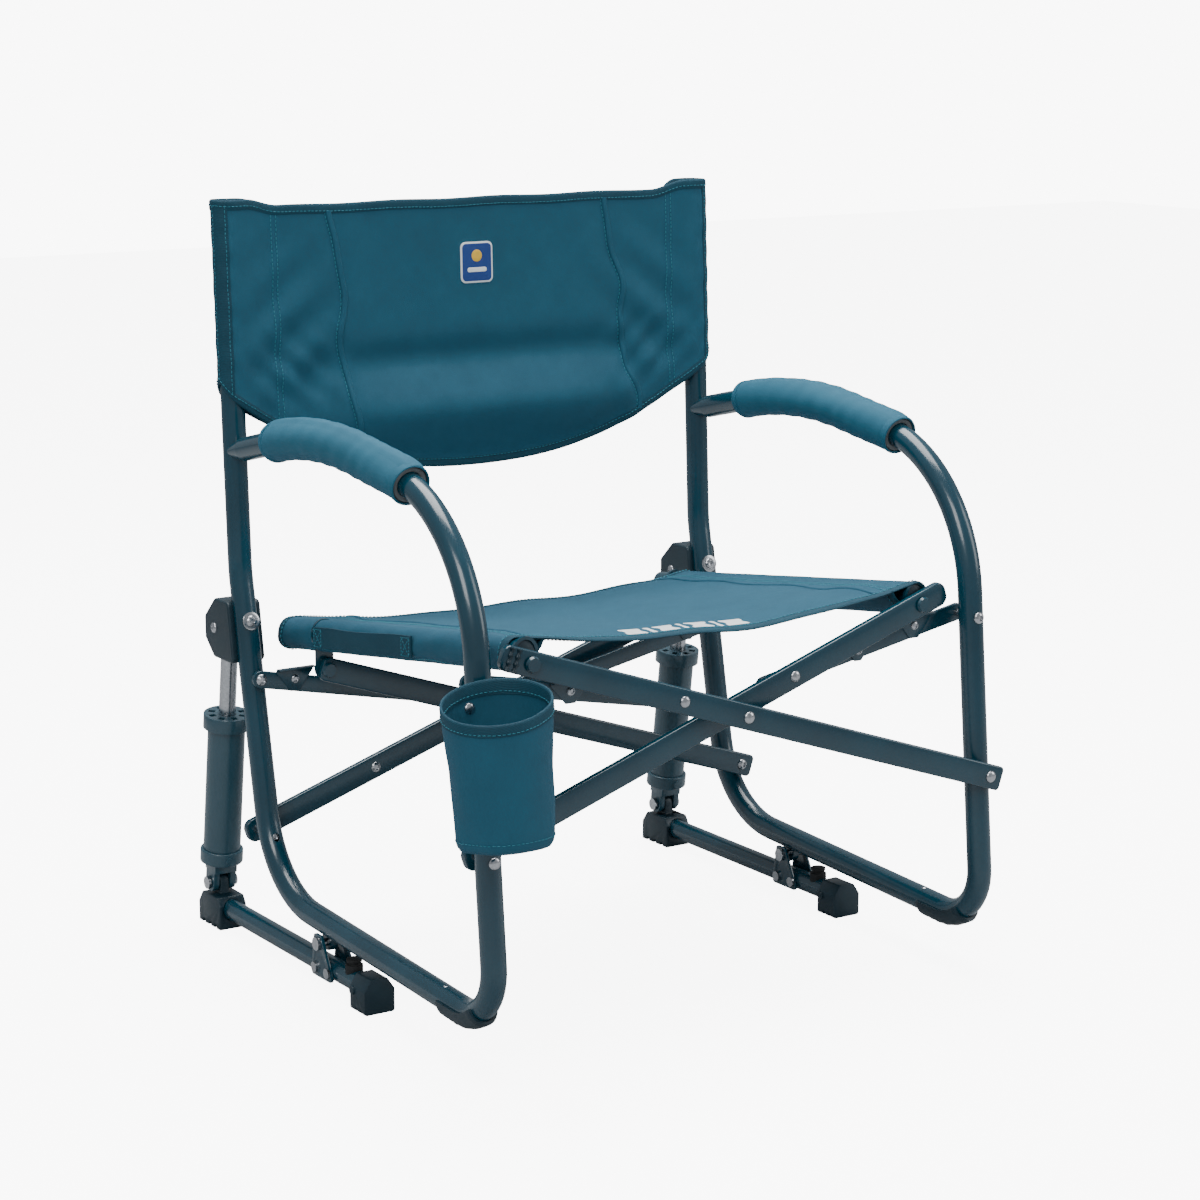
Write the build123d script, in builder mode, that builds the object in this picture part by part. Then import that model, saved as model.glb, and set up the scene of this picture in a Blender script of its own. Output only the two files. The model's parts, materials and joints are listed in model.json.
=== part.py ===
from build123d import *
import os
from math import asin, atan2, cos, degrees, hypot, radians, sin, sqrt, tan

# Camp rocking chair: two bent side frames on sprung feet, a double scissor frame, a fabric seat and back.

# Overall layout: X to the right as seen from the front, the chair faces -Y, Z up, floor at zero.
track = 290.0
tube_r = 12.5
tube_wall = 1.2
fit = 0.05
gap = 0.3

# Side frame centre line, corner by corner: y, z and bend radius.
post_top = (257.0, 775.0)
dimple = (240.5, 398.0, 150.0)
rear_bend = (176.0, 70.0, 105.0)
front_bend = (-272.0, 51.0, 52.0)
arm_bend = (-229.0, 527.0, 165.0)
arm_crown = (60.0, 566.0, 500.0)
arm_end = (244.5, 524.0)

# Foot assembly and shock.
foot_r = 11.0
foot_wall = 1.5
foot_z = 21.0
foot_front = -40.0
foot_rear = 318.0
rock_y = 54.7
rock_z = 47.4
swivel_y = 307.0
swivel_z = 47.0
shock_y = 267.0
shock_z = 336.0
cylinder_r = 20.0
cylinder_bore = 17.0
cylinder_from = 36.0
cylinder_to = 188.0
collar_r = 25.0
rod_r = 9.0
rod_from = 92.0

# Scissor frame.
bar_deg = 18.5
bar_height = 25.0
bar_thick = 8.0
bar_wall = 1.5
pin_r = 4.0
rail_x = 236.0
front_low_z = 210.0
rear_low_z = 128.0
near_yaw = 0.057
far_yaw = 0.016
bar_tail = 14.0
bar_tip = 32.0
rear_tip = 7.0
link_in_x = 50.0
link_thick = 5.0
link_height = 18.0
front_link_z = 370.0
rear_link_z = 291.0

# Seat rails and fabric.
rail_rx = 11.0
rail_rz = 13.0
rail_wall = 1.5
rail_front_z = 395.0
rail_rear_y = 233.0
fold_room = 6.5
face_room = 2.0
rail_rear_z = 330.0
cloth = 1.5
sheet = 3.0
pocket_low = 585.0
handle_from = -52.0
handle_to = 152.0
back_low = 487.0
pad_r = 21.0
pad_front = -122.0
pad_rear = 150.0
cup_x = -312.0
cup_y = -311.5
cup_rim_z = 375.0
cup_top_r = 51.5
cup_low_r = 45.0
cup_deep = 140.0
cup_lean = 6.5

bar_lower = track / cos(radians(bar_deg))
bar_upper = rail_x / cos(radians(bar_deg))
rise_lower = track * tan(radians(bar_deg))
rise_upper = rail_x * tan(radians(bar_deg))
rail_slope = atan2(rail_front_z - rail_rear_z, rail_rear_y + 245.0)


def bend_points(corners):
    """Start, then one (arc start, arc middle, arc end) per bend, then the end of a filleted polyline."""
    out = [("point", corners[0][:2])]
    for before, here, after in zip(corners, corners[1:], corners[2:]):
        ux, uy = before[0] - here[0], before[1] - here[1]
        vx, vy = after[0] - here[0], after[1] - here[1]
        lu, lv = hypot(ux, uy), hypot(vx, vy)
        ux, uy, vx, vy = ux / lu, uy / lu, vx / lv, vy / lv
        half = asin(min(1.0, hypot(ux - vx, uy - vy) / 2))
        reach = here[2] / tan(half)
        mx, my = ux + vx, uy + vy
        lm = hypot(mx, my)
        far = here[2] / sin(half) - here[2]
        start = (here[0] + ux * reach, here[1] + uy * reach)
        middle = (here[0] + mx / lm * far, here[1] + my / lm * far)
        end = (here[0] + vx * reach, here[1] + vy * reach)
        out.append(("bend", start, middle, end))
    out.append(("point", corners[-1][:2]))
    return out


def draw_bends(corners):
    """Lines and arcs of the filleted polyline, drawn into the open BuildLine."""
    last = None
    for step in bend_points(corners):
        if step[0] == "point":
            if last is not None:
                Line(last, step[1])
            last = step[1]
        else:
            Line(last, step[1])
            ThreePointArc(step[1], step[2], step[3])
            last = step[3]


def post_y(z):
    """Centre of the post at a height."""
    if z > dimple[1]:
        share = (z - dimple[1]) / (post_top[1] - dimple[1])
        return dimple[0] + share * (post_top[0] - dimple[0])
    start, middle, end = bend_points([dimple, rear_bend, front_bend])[1][1:]
    if z < start[1]:
        mid = ((start[0] + end[0]) / 2, (start[1] + end[1]) / 2)
        reach = hypot(mid[0] - rear_bend[0], mid[1] - rear_bend[1])
        far = hypot(middle[0] - rear_bend[0], middle[1] - rear_bend[1]) + rear_bend[2]
        centre_y = rear_bend[0] + (mid[0] - rear_bend[0]) / reach * far
        centre_z = rear_bend[1] + (mid[1] - rear_bend[1]) / reach * far
        return centre_y + sqrt(rear_bend[2] ** 2 - (z - centre_z) ** 2)
    share = (z - rear_bend[1]) / (dimple[1] - rear_bend[1])
    return rear_bend[0] + share * (dimple[0] - rear_bend[0])


def leg_y(z):
    """Centre of the front leg at a height below the arm bend."""
    share = (z - front_bend[1]) / (arm_bend[1] - front_bend[1])
    return front_bend[0] + share * (arm_bend[0] - front_bend[0])


def low_rail_z(y):
    """Centre of the bottom rail."""
    share = (y - front_bend[0]) / (rear_bend[0] - front_bend[0])
    return front_bend[1] + share * (rear_bend[1] - front_bend[1])


def rail_z(y):
    """Centre of the seat rail."""
    return rail_front_z - (y + 245.0) * tan(rail_slope)


frame_corners = [post_top, dimple, rear_bend, front_bend, arm_bend, arm_crown]
weld_z = arm_end[1]
weld_y = post_y(weld_z)
arm_dir = (weld_y - arm_crown[0], weld_z - arm_crown[1])
arm_len = hypot(arm_dir[0], arm_dir[1])
stub = 26.0
arm_stop = (weld_y - arm_dir[0] / arm_len * stub, weld_z - arm_dir[1] / arm_len * stub)

# Front bars: A runs from the right leg up to the left rail, B from the left leg up to the right rail.
# Bar A passes in front of the right leg and bar B behind the left leg.
yaw = {"a": near_yaw, "b": far_yaw, "c": 0.0, "d": 0.0}
edge_z = bar_height / 2 + 2.5
low_y = {"a": leg_y(front_low_z - edge_z) - tube_r - bar_thick / 2 - 1.5}
low_y["b"] = leg_y(front_low_z + edge_z) + tube_r + bar_thick / 2 + 3.0
top_y = {bar: low_y[bar] + yaw[bar] * (bar_lower + bar_upper) for bar in "ab"}
# Rear bars: C from behind the left post to the right rail, D from before the right post to the left rail.
# Bar C stands off the post far enough that the leaning post stays clear of it while it folds upright.
low_y["c"] = post_y(rear_low_z + 19.0) + tube_r + bar_thick / 2 + fold_room
low_y["d"] = post_y(rear_low_z - 19.0) - tube_r - bar_thick / 2 - 3.0
top_y["c"] = low_y["c"]
top_y["d"] = low_y["d"]
mid_y = {bar: low_y[bar] + yaw[bar] * bar_lower for bar in "abcd"}
cross_y = mid_y["a"]
lean_right = {"a": -1, "b": 1, "c": 1, "d": -1}
low_z = {"a": front_low_z, "b": front_low_z, "c": rear_low_z, "d": rear_low_z}
link_y = {
    "front_left": leg_y(front_link_z) + tube_r + 3.0 + link_thick / 2,
    "front_right": leg_y(front_link_z) + tube_r + 3.0 + link_thick * 1.5 + 2.0,
    "rear_left": post_y(rear_link_z - link_height) - tube_r - 1.5 - link_thick / 2,
    "rear_right": post_y(rear_link_z - link_height) - tube_r - 3.5 - link_thick * 1.5,
}
link_high = {"front": front_link_z, "rear": rear_link_z}
print("planes", {k: round(v, 2) for k, v in {**low_y, **{"top_" + k: v for k, v in top_y.items()}}.items()})
print("links", {k: round(v, 2) for k, v in link_y.items()})

made = {}


def keep(name, part):
    """Names a finished sub-part for export."""
    part.label = name
    made[name] = part


for side, s in (("left", -1), ("right", 1)):
    x = s * track
    side_plane = Plane.YZ.offset(x)
    bars_here = ("b", "c") if side == "left" else ("a", "d")
    pin_spots = [(low_y[bars_here[0]], front_low_z), (low_y[bars_here[1]], rear_low_z)]
    link_spots = [(link_y["front_" + side], front_link_z), (link_y["rear_" + side], rear_link_z)]

    # Frame pins run along Y from the tube's far wall to the bar or link they carry.
    spans = []
    for n, (plane_y, pin_z) in enumerate(pin_spots):
        centre = leg_y(pin_z) if n == 0 else post_y(pin_z)
        spans.append((pin_z, centre, plane_y, bar_thick))
    for n, (plane_y, pin_z) in enumerate(link_spots):
        centre = leg_y(pin_z) if n == 0 else post_y(pin_z)
        spans.append((pin_z, centre, plane_y, link_thick))
    with BuildPart() as frame_pins:
        for pin_z, centre, plane_y, thick in spans:
            way = 1 if plane_y > centre else -1
            bent = 3.0 if pin_z < 150.0 else 0.0
            first = centre - way * (tube_r + 2.2 + bent)
            last = plane_y + way * (thick / 2 + 1.5)
            with BuildSketch(Plane(origin=(x, first, pin_z), x_dir=(1, 0, 0), z_dir=(0, way, 0))):
                Circle(pin_r)
            extrude(amount=abs(last - first))
            for spot, out in ((first, -way), (last, way)):
                with BuildSketch(Plane(origin=(x, spot, pin_z), x_dir=(1, 0, 0), z_dir=(0, out, 0))):
                    Circle(7.5)
                extrude(amount=2.5, taper=30)
            lift = abs(plane_y - centre) - tube_r - thick / 2
            if lift > 5.0:
                start = centre + way * (tube_r + 1.6 + bent)
                with BuildSketch(Plane(origin=(x, start, pin_z), x_dir=(1, 0, 0), z_dir=(0, way, 0))):
                    Circle(6.5)
                extrude(amount=lift - 1.6 - bent - 1.0)
        # Bolts of the upper shock bracket: a washered one on the post's front and one each side.
        washer_z = 347.0
        out_dir = (0, rear_bend[1] - dimple[1], dimple[0] - rear_bend[0])
        washer_at = Plane(origin=(x, post_y(washer_z), washer_z), x_dir=(1, 0, 0), z_dir=out_dir)
        for low, high, r in ((gap, 2.2, 10.0), (2.2, 6.0, 6.0)):
            with BuildSketch(washer_at.offset(tube_r + low)):
                Circle(r)
            extrude(amount=high - low)
        for face_x, way in ((x - 19.0, -1), (x + 19.0, 1)):
            bolt_at = Plane(origin=(face_x + way * fit, shock_y, shock_z), x_dir=(0, 1, 0), z_dir=(way, 0, 0))
            with BuildSketch(bolt_at):
                Circle(6.5)
            extrude(amount=3.5)
    keep(side + "_frame_pins", frame_pins.part)

    # Side tube: post, bottom rail, front leg and arm in one bend, the arm's end let into the post.
    with BuildPart() as side_tube:
        with BuildLine(side_plane) as centre_line:
            draw_bends(frame_corners + [arm_stop])
        with BuildSketch(Plane(origin=centre_line.line @ 0, z_dir=centre_line.line % 0)):
            Circle(tube_r)
            Circle(tube_r - tube_wall, mode=Mode.SUBTRACT)
        sweep(path=centre_line.line)
        stub_dir = (0, arm_dir[0] / arm_len, arm_dir[1] / arm_len)
        stub_at = Plane(origin=(x, arm_stop[0], arm_stop[1]), x_dir=(1, 0, 0), z_dir=stub_dir)
        with BuildSketch(stub_at):
            Circle(tube_r)
        with BuildSketch(stub_at.offset(stub - 4.0)):
            Ellipse(tube_r - 1.0, 8.0)
        loft()
        post_dir = (0, post_top[0] - dimple[0], post_top[1] - dimple[1])
        with BuildSketch(Plane(origin=(x, post_y(460.0), 460.0), x_dir=(1, 0, 0), z_dir=post_dir)):
            Circle(tube_r - tube_wall)
        extrude(amount=130.0, mode=Mode.SUBTRACT)
        for pin_z, centre, plane_y, thick in spans:
            with BuildSketch(Plane(origin=(x, centre - 30.0, pin_z), x_dir=(1, 0, 0), z_dir=(0, 1, 0))):
                Circle(pin_r + fit)
            extrude(amount=60.0, mode=Mode.SUBTRACT)
    keep(side + "_side_tube", side_tube.part)

    with BuildPart() as post_cap:
        top_at = Plane(origin=(x, post_top[0], post_top[1]), x_dir=(1, 0, 0), z_dir=post_dir)
        with BuildSketch(top_at.offset(fit)):
            Circle(tube_r)
        extrude(amount=4.0)
        fillet(post_cap.faces().sort_by(Axis.Z)[-1].edges(), 2.0)
        with BuildSketch(top_at.offset(-12.0)):
            Circle(tube_r - tube_wall - fit)
        extrude(amount=12.0 + fit + 0.5)
    keep(side + "_post_cap", post_cap.part)

    # Foot guard: a trough under the front bend, its floor toothed.
    guard_path = bend_points([(-170.0, low_rail_z(-170.0)), front_bend, (leg_y(118.0), 118.0)])
    with BuildPart() as foot_guard:
        with BuildLine(side_plane) as guard_line:
            Line(guard_path[0][1], guard_path[1][1])
            ThreePointArc(guard_path[1][1], guard_path[1][2], guard_path[1][3])
            Line(guard_path[1][3], guard_path[2][1])
        guard_start = Plane(origin=guard_line.line @ 0, x_dir=(1, 0, 0), z_dir=guard_line.line % 0)
        with BuildSketch(guard_start):
            Circle(tube_r + 3.2)
            Circle(tube_r + fit, mode=Mode.SUBTRACT)
            with Locations((0, -20.0 if guard_start.y_dir.Z > 0 else 20.0)):
                Rectangle(60.0, 34.0, mode=Mode.INTERSECT)
        sweep(path=guard_line.line)
    keep(side + "_foot_guard", foot_guard.part)

    # Arm pad: foam and cloth wrapped round the arm.
    arm_front_z = arm_bend[1] + (pad_front - arm_bend[0]) / (arm_crown[0] - arm_bend[0]) * (
        arm_crown[1] - arm_bend[1]
    )
    pad_line = arm_dir[1] / arm_dir[0]
    arm_path = bend_points(frame_corners + [arm_stop])
    pad_from = arm_path[4][3]
    with BuildPart() as arm_pad:
        with BuildLine(side_plane) as pad_path:
            draw_bends(
                [
                    (pad_from[0] + 2.0, pad_from[1] + 2.0 * (arm_crown[1] - arm_bend[1]) / 289.0),
                    arm_crown,
                    (pad_rear, arm_crown[1] + (pad_rear - arm_crown[0]) * pad_line),
                ]
            )
        with BuildSketch(Plane(origin=pad_path.line @ 0, z_dir=pad_path.line % 0)):
            Circle(pad_r)
            Circle(tube_r + gap, mode=Mode.SUBTRACT)
        sweep(path=pad_path.line)
    keep(side + "_arm_pad", arm_pad.part)

    with BuildPart() as back_pocket:
        with BuildSketch(Plane(origin=(x, post_y(pocket_low), pocket_low), x_dir=(1, 0, 0), z_dir=post_dir)):
            Circle(tube_r + gap + cloth)
            Circle(tube_r + gap, mode=Mode.SUBTRACT)
        extrude(amount=post_top[1] - pocket_low + 6.0)
    keep(side + "_back_pocket", back_pocket.part)

    # Upper shock bracket: a rounded plastic block behind the post with a pocket for the rod's eye.
    block_front = post_y(shock_z) - 2.0
    with BuildPart() as shock_bracket:
        with BuildSketch(Plane.YZ.offset(x - 19.0)) as block_side:
            with BuildLine():
                Polyline(
                    (block_front - 2.0, 304.0),
                    (block_front + 44.0, 304.0),
                    (block_front + 64.0, 322.0),
                    (block_front + 64.0, 346.0),
                    (block_front + 40.0, 368.0),
                    (block_front + 8.0, 368.0),
                    close=True,
                )
            make_face()
            fillet(block_side.vertices(), 6.0)
        extrude(amount=38.0)
        fillet(shock_bracket.faces().filter_by(Axis.X).edges(), 2.5)
        low_dir = (0, dimple[0] - rear_bend[0], dimple[1] - rear_bend[1])
        with BuildSketch(Plane(origin=(x, post_y(280.0), 280.0), x_dir=(1, 0, 0), z_dir=low_dir)):
            Circle(tube_r + fit)
        extrude(amount=120.0, mode=Mode.SUBTRACT)
        with BuildSketch(Plane.YZ.offset(x - 13.0)):
            with BuildLine():
                Polyline((249.0, 290.0), (288.0, 290.0), (285.0, 352.0), (249.0, 352.0), close=True)
            make_face()
        extrude(amount=26.0, mode=Mode.SUBTRACT)
    keep(side + "_shock_bracket", shock_bracket.part)

    # Lug under the bottom rail that the foot turns on.
    with BuildPart() as pivot_lug:
        with BuildSketch(Plane.YZ.offset(x - 4.0)):
            with Locations((rock_y, (low_rail_z(rock_y) + rock_z) / 2)):
                Rectangle(20.0, low_rail_z(rock_y) - rock_z)
            with Locations((rock_y, rock_z)):
                Circle(9.0)
        extrude(amount=8.0)
        rail_dir = (0, rear_bend[0] - front_bend[0], rear_bend[1] - front_bend[1])
        with BuildSketch(Plane(origin=(x, -20.0, low_rail_z(-20.0)), x_dir=(1, 0, 0), z_dir=rail_dir)):
            Circle(tube_r + fit)
        extrude(amount=150.0, mode=Mode.SUBTRACT)
        with BuildSketch(Plane.YZ.offset(x - 10.0)):
            with Locations((rock_y, rock_z)):
                Circle(pin_r + fit)
        extrude(amount=20.0, mode=Mode.SUBTRACT)
    keep(side + "_pivot_lug", pivot_lug.part)

    # Foot tube and the pieces clamped to it.
    with BuildPart() as foot_tube:
        with BuildSketch(Plane(origin=(x, foot_front, foot_z), x_dir=(1, 0, 0), z_dir=(0, 1, 0))):
            Circle(foot_r)
            Circle(foot_r - foot_wall, mode=Mode.SUBTRACT)
        extrude(amount=foot_rear - foot_front)
    keep(side + "_foot_tube", foot_tube.part)

    with BuildPart() as front_cap:
        cap_plane = Plane(origin=(x, foot_front - 7.0, 0), x_dir=(-1, 0, 0), z_dir=(0, 1, 0))
        with BuildSketch(cap_plane) as cap_face:
            with BuildLine():
                cap_side = [(17.0, 0.0), (17.0, 24.0), (9.0, 36.0)]
                Polyline(*cap_side, *[(-a, b) for a, b in reversed(cap_side)], close=True)
            make_face()
            fillet(cap_face.vertices().group_by(Axis.Z)[-1], 3.0)
        extrude(amount=30.0)
        with BuildSketch(Plane(origin=(x, foot_front - fit, foot_z), x_dir=(1, 0, 0), z_dir=(0, 1, 0))):
            Circle(foot_r + fit)
        extrude(amount=60.0, mode=Mode.SUBTRACT)
        for groove_y in (foot_front + 1.0, foot_front + 11.0):
            with BuildSketch(Plane.YZ.offset(x - 20.0)):
                with Locations((groove_y, 0.0)):
                    Rectangle(4.0, 8.0)
            extrude(amount=40.0, mode=Mode.SUBTRACT)
        with BuildSketch(Plane.YZ.offset(x - 17.0 - 2.0)):
            with Locations((foot_front + 17.0, foot_z)):
                Circle(4.5)
        extrude(amount=2.5)
        with BuildSketch(Plane.YZ.offset(x + 17.0 - 0.5)):
            with Locations((foot_front + 17.0, foot_z)):
                Circle(4.5)
        extrude(amount=2.5)
    keep(side + "_front_cap", front_cap.part)

    with BuildPart() as rear_foot:
        with BuildSketch(Plane.YZ.offset(x - 16.0)) as shoe:
            with BuildLine():
                Polyline(
                    (foot_rear - 40.0, 0.0),
                    (foot_rear + 12.0, 0.0),
                    (foot_rear + 12.0, 22.0),
                    (foot_rear + 2.0, 35.0),
                    (foot_rear - 34.0, 35.0),
                    (foot_rear - 40.0, 26.0),
                    close=True,
                )
            make_face()
        extrude(amount=32.0)
        with BuildSketch(Plane.YZ.offset(x - 5.0)):
            with Locations((swivel_y, swivel_z)):
                Circle(10.0)
            with Locations((swivel_y, (swivel_z + 34.0) / 2)):
                Rectangle(20.0, swivel_z - 34.0)
        extrude(amount=10.0)
        with BuildSketch(Plane(origin=(x, foot_front, foot_z), x_dir=(1, 0, 0), z_dir=(0, 1, 0))):
            Circle(foot_r + fit)
        extrude(amount=foot_rear - foot_front + fit, mode=Mode.SUBTRACT)
        for groove_y in (foot_rear - 28.0, foot_rear - 14.0, foot_rear):
            with BuildSketch(Plane.YZ.offset(x - 20.0)):
                with Locations((groove_y, 0.0)):
                    Rectangle(4.0, 8.0)
            extrude(amount=40.0, mode=Mode.SUBTRACT)
        with BuildSketch(Plane.YZ.offset(x - 30.0)):
            with Locations((swivel_y, swivel_z)):
                Circle(pin_r + fit)
        extrude(amount=60.0, mode=Mode.SUBTRACT)
    keep(side + "_rear_foot", rear_foot.part)

    plate_in = foot_r + gap
    with BuildPart() as pivot_plates:
        for face_x in (x - plate_in - 3.0, x + plate_in):
            with BuildSketch(Plane.YZ.offset(face_x)) as plate:
                with BuildLine():
                    Polyline(
                        (rock_y - 30.0, 12.0),
                        (rock_y + 16.0, 12.0),
                        (rock_y + 9.0, rock_z + 9.0),
                        (rock_y - 6.0, rock_z + 9.0),
                        close=True,
                    )
                make_face()
                fillet(plate.vertices(), 4.0)
            extrude(amount=3.0)
        with BuildSketch(Plane.YZ.offset(x - 30.0)):
            with Locations((rock_y, rock_z)):
                Circle(pin_r + fit)
            with Locations((rock_y - 20.0, foot_z), (rock_y + 6.5, foot_z)):
                Circle(3.0 + fit)
        extrude(amount=60.0, mode=Mode.SUBTRACT)
    keep(side + "_pivot_plates", pivot_plates.part)

    # Bolts of the foot: the rocking pin, the four plate bolts and the swivel pin.
    with BuildPart() as foot_bolts:
        reach = plate_in + 3.0 + gap
        through = ((rock_y, rock_z, reach), (swivel_y, swivel_z, 14.0))
        for bolt_y, bolt_z, out in through:
            with BuildSketch(Plane.YZ.offset(x - out)):
                with Locations((bolt_y, bolt_z)):
                    Circle(pin_r)
            extrude(amount=2 * out)
            for face_x, way in ((x - out, -1), (x + out, 1)):
                with BuildSketch(Plane(origin=(face_x, bolt_y, bolt_z), x_dir=(0, 1, 0), z_dir=(way, 0, 0))):
                    Circle(7.0)
                extrude(amount=3.0)
        for bolt_y in (rock_y - 20.0, rock_y + 6.5):
            for face_x, way in ((x - plate_in - 3.0, -1), (x + plate_in + 3.0, 1)):
                bolt_at = Plane(origin=(face_x, bolt_y, foot_z), x_dir=(0, 1, 0), z_dir=(way, 0, 0))
                with BuildSketch(bolt_at):
                    Circle(5.5)
                extrude(amount=2.5)
                with BuildSketch(bolt_at):
                    Circle(3.0)
                extrude(amount=-3.0)
    keep(side + "_foot_bolts", foot_bolts.part)

    with BuildPart() as bumper:
        bumper_y = rock_y - 50.0
        for up, tall, r in ((0.0, 16.0, 9.0), (16.0, 3.0, 6.0), (19.0, 3.0, 8.0)):
            low = foot_z + up
            high = low + tall
            with BuildSketch(Plane.XY.offset(low)):
                with Locations((x, bumper_y)):
                    Circle(r)
            extrude(amount=high - low)
        with BuildSketch(Plane(origin=(x, bumper_y - 20.0, foot_z), x_dir=(1, 0, 0), z_dir=(0, 1, 0))):
            Circle(foot_r + fit)
        extrude(amount=40.0, mode=Mode.SUBTRACT)
    keep(side + "_bumper", bumper.part)

    # Shock, drawn along its own axis from the swivel pin up to the bracket.
    shock_len = hypot(shock_y - swivel_y, shock_z - swivel_z)
    shock_dir = (0, shock_y - swivel_y, shock_z - swivel_z)
    shock_at = Plane(origin=(x, swivel_y, swivel_z), x_dir=(1, 0, 0), z_dir=shock_dir)
    with BuildPart() as swivel:
        with BuildSketch(shock_at.offset(13.0)):
            Rectangle(26.0, 24.0)
        extrude(amount=12.0)
        with BuildSketch(shock_at.offset(24.0)):
            Circle(23.0)
        extrude(amount=15.0)
        fillet(swivel.edges().filter_by(GeomType.CIRCLE), 1.5)
        for cheek in (-9.7, 9.7):
            with BuildSketch(Plane(origin=shock_at.location.position, x_dir=(1, 0, 0), z_dir=shock_dir)):
                with Locations((cheek, 0.0)):
                    Rectangle(6.6, 20.0)
            extrude(amount=14.0)
            with BuildSketch(Plane.YZ.offset(x + cheek - 3.3)):
                with Locations((swivel_y, swivel_z)):
                    Circle(10.0)
            extrude(amount=6.6)
        with BuildSketch(Plane.YZ.offset(x - 30.0)):
            with Locations((swivel_y, swivel_z)):
                Circle(pin_r + fit)
        extrude(amount=60.0, mode=Mode.SUBTRACT)
        with BuildSketch(shock_at.offset(cylinder_from - fit)):
            Circle(cylinder_r + fit)
        extrude(amount=60.0, mode=Mode.SUBTRACT)
        front_bolt = shock_at.offset(31.0)
        bolt_plane = Plane(origin=front_bolt.origin, x_dir=(1, 0, 0), z_dir=front_bolt.y_dir)
        with BuildSketch(bolt_plane.offset(-25.0)):
            Circle(5.0)
        extrude(amount=4.0)
    keep(side + "_swivel", swivel.part)

    with BuildPart() as cylinder:
        with BuildSketch(shock_at.offset(cylinder_from)):
            Circle(cylinder_r)
        extrude(amount=cylinder_to - cylinder_from)
        with BuildSketch(shock_at.offset(cylinder_from + 4.0)):
            Circle(cylinder_bore)
        extrude(amount=cylinder_to - cylinder_from, mode=Mode.SUBTRACT)
    keep(side + "_cylinder", cylinder.part)

    with BuildPart() as top_collar:
        with BuildSketch(shock_at.offset(cylinder_to - 10.0)):
            Circle(collar_r)
            Circle(cylinder_r + fit, mode=Mode.SUBTRACT)
        extrude(amount=10.0)
        with BuildSketch(shock_at.offset(cylinder_to + fit)):
            Circle(collar_r)
            Circle(rod_r + gap, mode=Mode.SUBTRACT)
            with PolarLocations(17.0, 8):
                Rectangle(7.0, 6.0, mode=Mode.SUBTRACT)
        extrude(amount=5.0)
        with BuildSketch(shock_at.offset(cylinder_to - 0.1)):
            Circle(collar_r)
            Circle(cylinder_r + fit, mode=Mode.SUBTRACT)
        extrude(amount=0.3)
    keep(side + "_top_collar", top_collar.part)

    with BuildPart() as rod:
        with BuildSketch(shock_at.offset(rod_from)):
            Circle(rod_r)
        extrude(amount=shock_len - rod_from - 6.0)
        with BuildSketch(shock_at.offset(rod_from)):
            Circle(cylinder_bore - gap)
        extrude(amount=12.0)
        with BuildSketch(Plane.YZ.offset(x - 8.0)):
            with Locations((shock_y, shock_z)):
                Circle(10.0)
        extrude(amount=16.0)
    keep(side + "_rod", rod.part)

# Scissor bars: flat tubes, holed along Y for their pins.
bar_dir = {}
for bar in "abcd":
    w = lean_right[bar]
    along = (w * cos(radians(bar_deg)), yaw[bar], sin(radians(bar_deg)))
    grow = sqrt(1 + yaw[bar] ** 2)
    mid_z = low_z[bar] + rise_lower
    start = tuple(
        c - a * (bar_lower + bar_tail) for c, a in zip((0.0, mid_y[bar], mid_z), along)
    )
    across = (-w * sin(radians(bar_deg)), 0, cos(radians(bar_deg)))
    tip = bar_tip if bar in "ab" else rear_tip
    with BuildPart() as scissor_bar:
        bar_plane = Plane(origin=start, x_dir=across, z_dir=along)
        with BuildSketch(bar_plane):
            RectangleRounded(bar_height, bar_thick, 3.0)
            RectangleRounded(bar_height - 2 * bar_wall, bar_thick - 2 * bar_wall, 1.5, mode=Mode.SUBTRACT)
        extrude(amount=(bar_lower + bar_upper + bar_tail + tip) * grow)
        spots = [(-w * track, low_y[bar], low_z[bar]), (0.0, mid_y[bar], mid_z)]
        spots.append((w * rail_x, top_y[bar], mid_z + rise_upper))
        for spot in spots:
            hole_at = Plane(origin=(spot[0], spot[1] - 15.0, spot[2]), x_dir=(1, 0, 0), z_dir=(0, 1, 0))
            with BuildSketch(hole_at):
                Circle(pin_r + fit)
            extrude(amount=30.0, mode=Mode.SUBTRACT)
    keep("bar_" + bar, scissor_bar.part)

for name, near, far in (("front_cross_pin", "a", "b"), ("rear_cross_pin", "d", "c")):
    cross_z = low_z[near] + rise_lower
    first = mid_y[near] - bar_thick / 2 - 1.5
    last = mid_y[far] + bar_thick / 2 + 1.5
    with BuildPart() as cross_pin:
        with BuildSketch(Plane(origin=(0, first, cross_z), x_dir=(1, 0, 0), z_dir=(0, 1, 0))):
            Circle(pin_r)
        extrude(amount=last - first)
        for spot, way in ((first, -1), (last, 1)):
            with BuildSketch(Plane(origin=(0, spot, cross_z), x_dir=(1, 0, 0), z_dir=(0, way, 0))):
                Circle(8.0)
            extrude(amount=2.5, taper=30)
        room = mid_y[far] - mid_y[near] - bar_thick
        if room > 8.0:
            washer_y = mid_y[near] + bar_thick / 2 + 1.0
            with BuildSketch(Plane(origin=(0, washer_y, cross_z), x_dir=(1, 0, 0), z_dir=(0, 1, 0))):
                Circle(7.0)
            extrude(amount=room - 2.0)
    keep(name, cross_pin.part)

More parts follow.
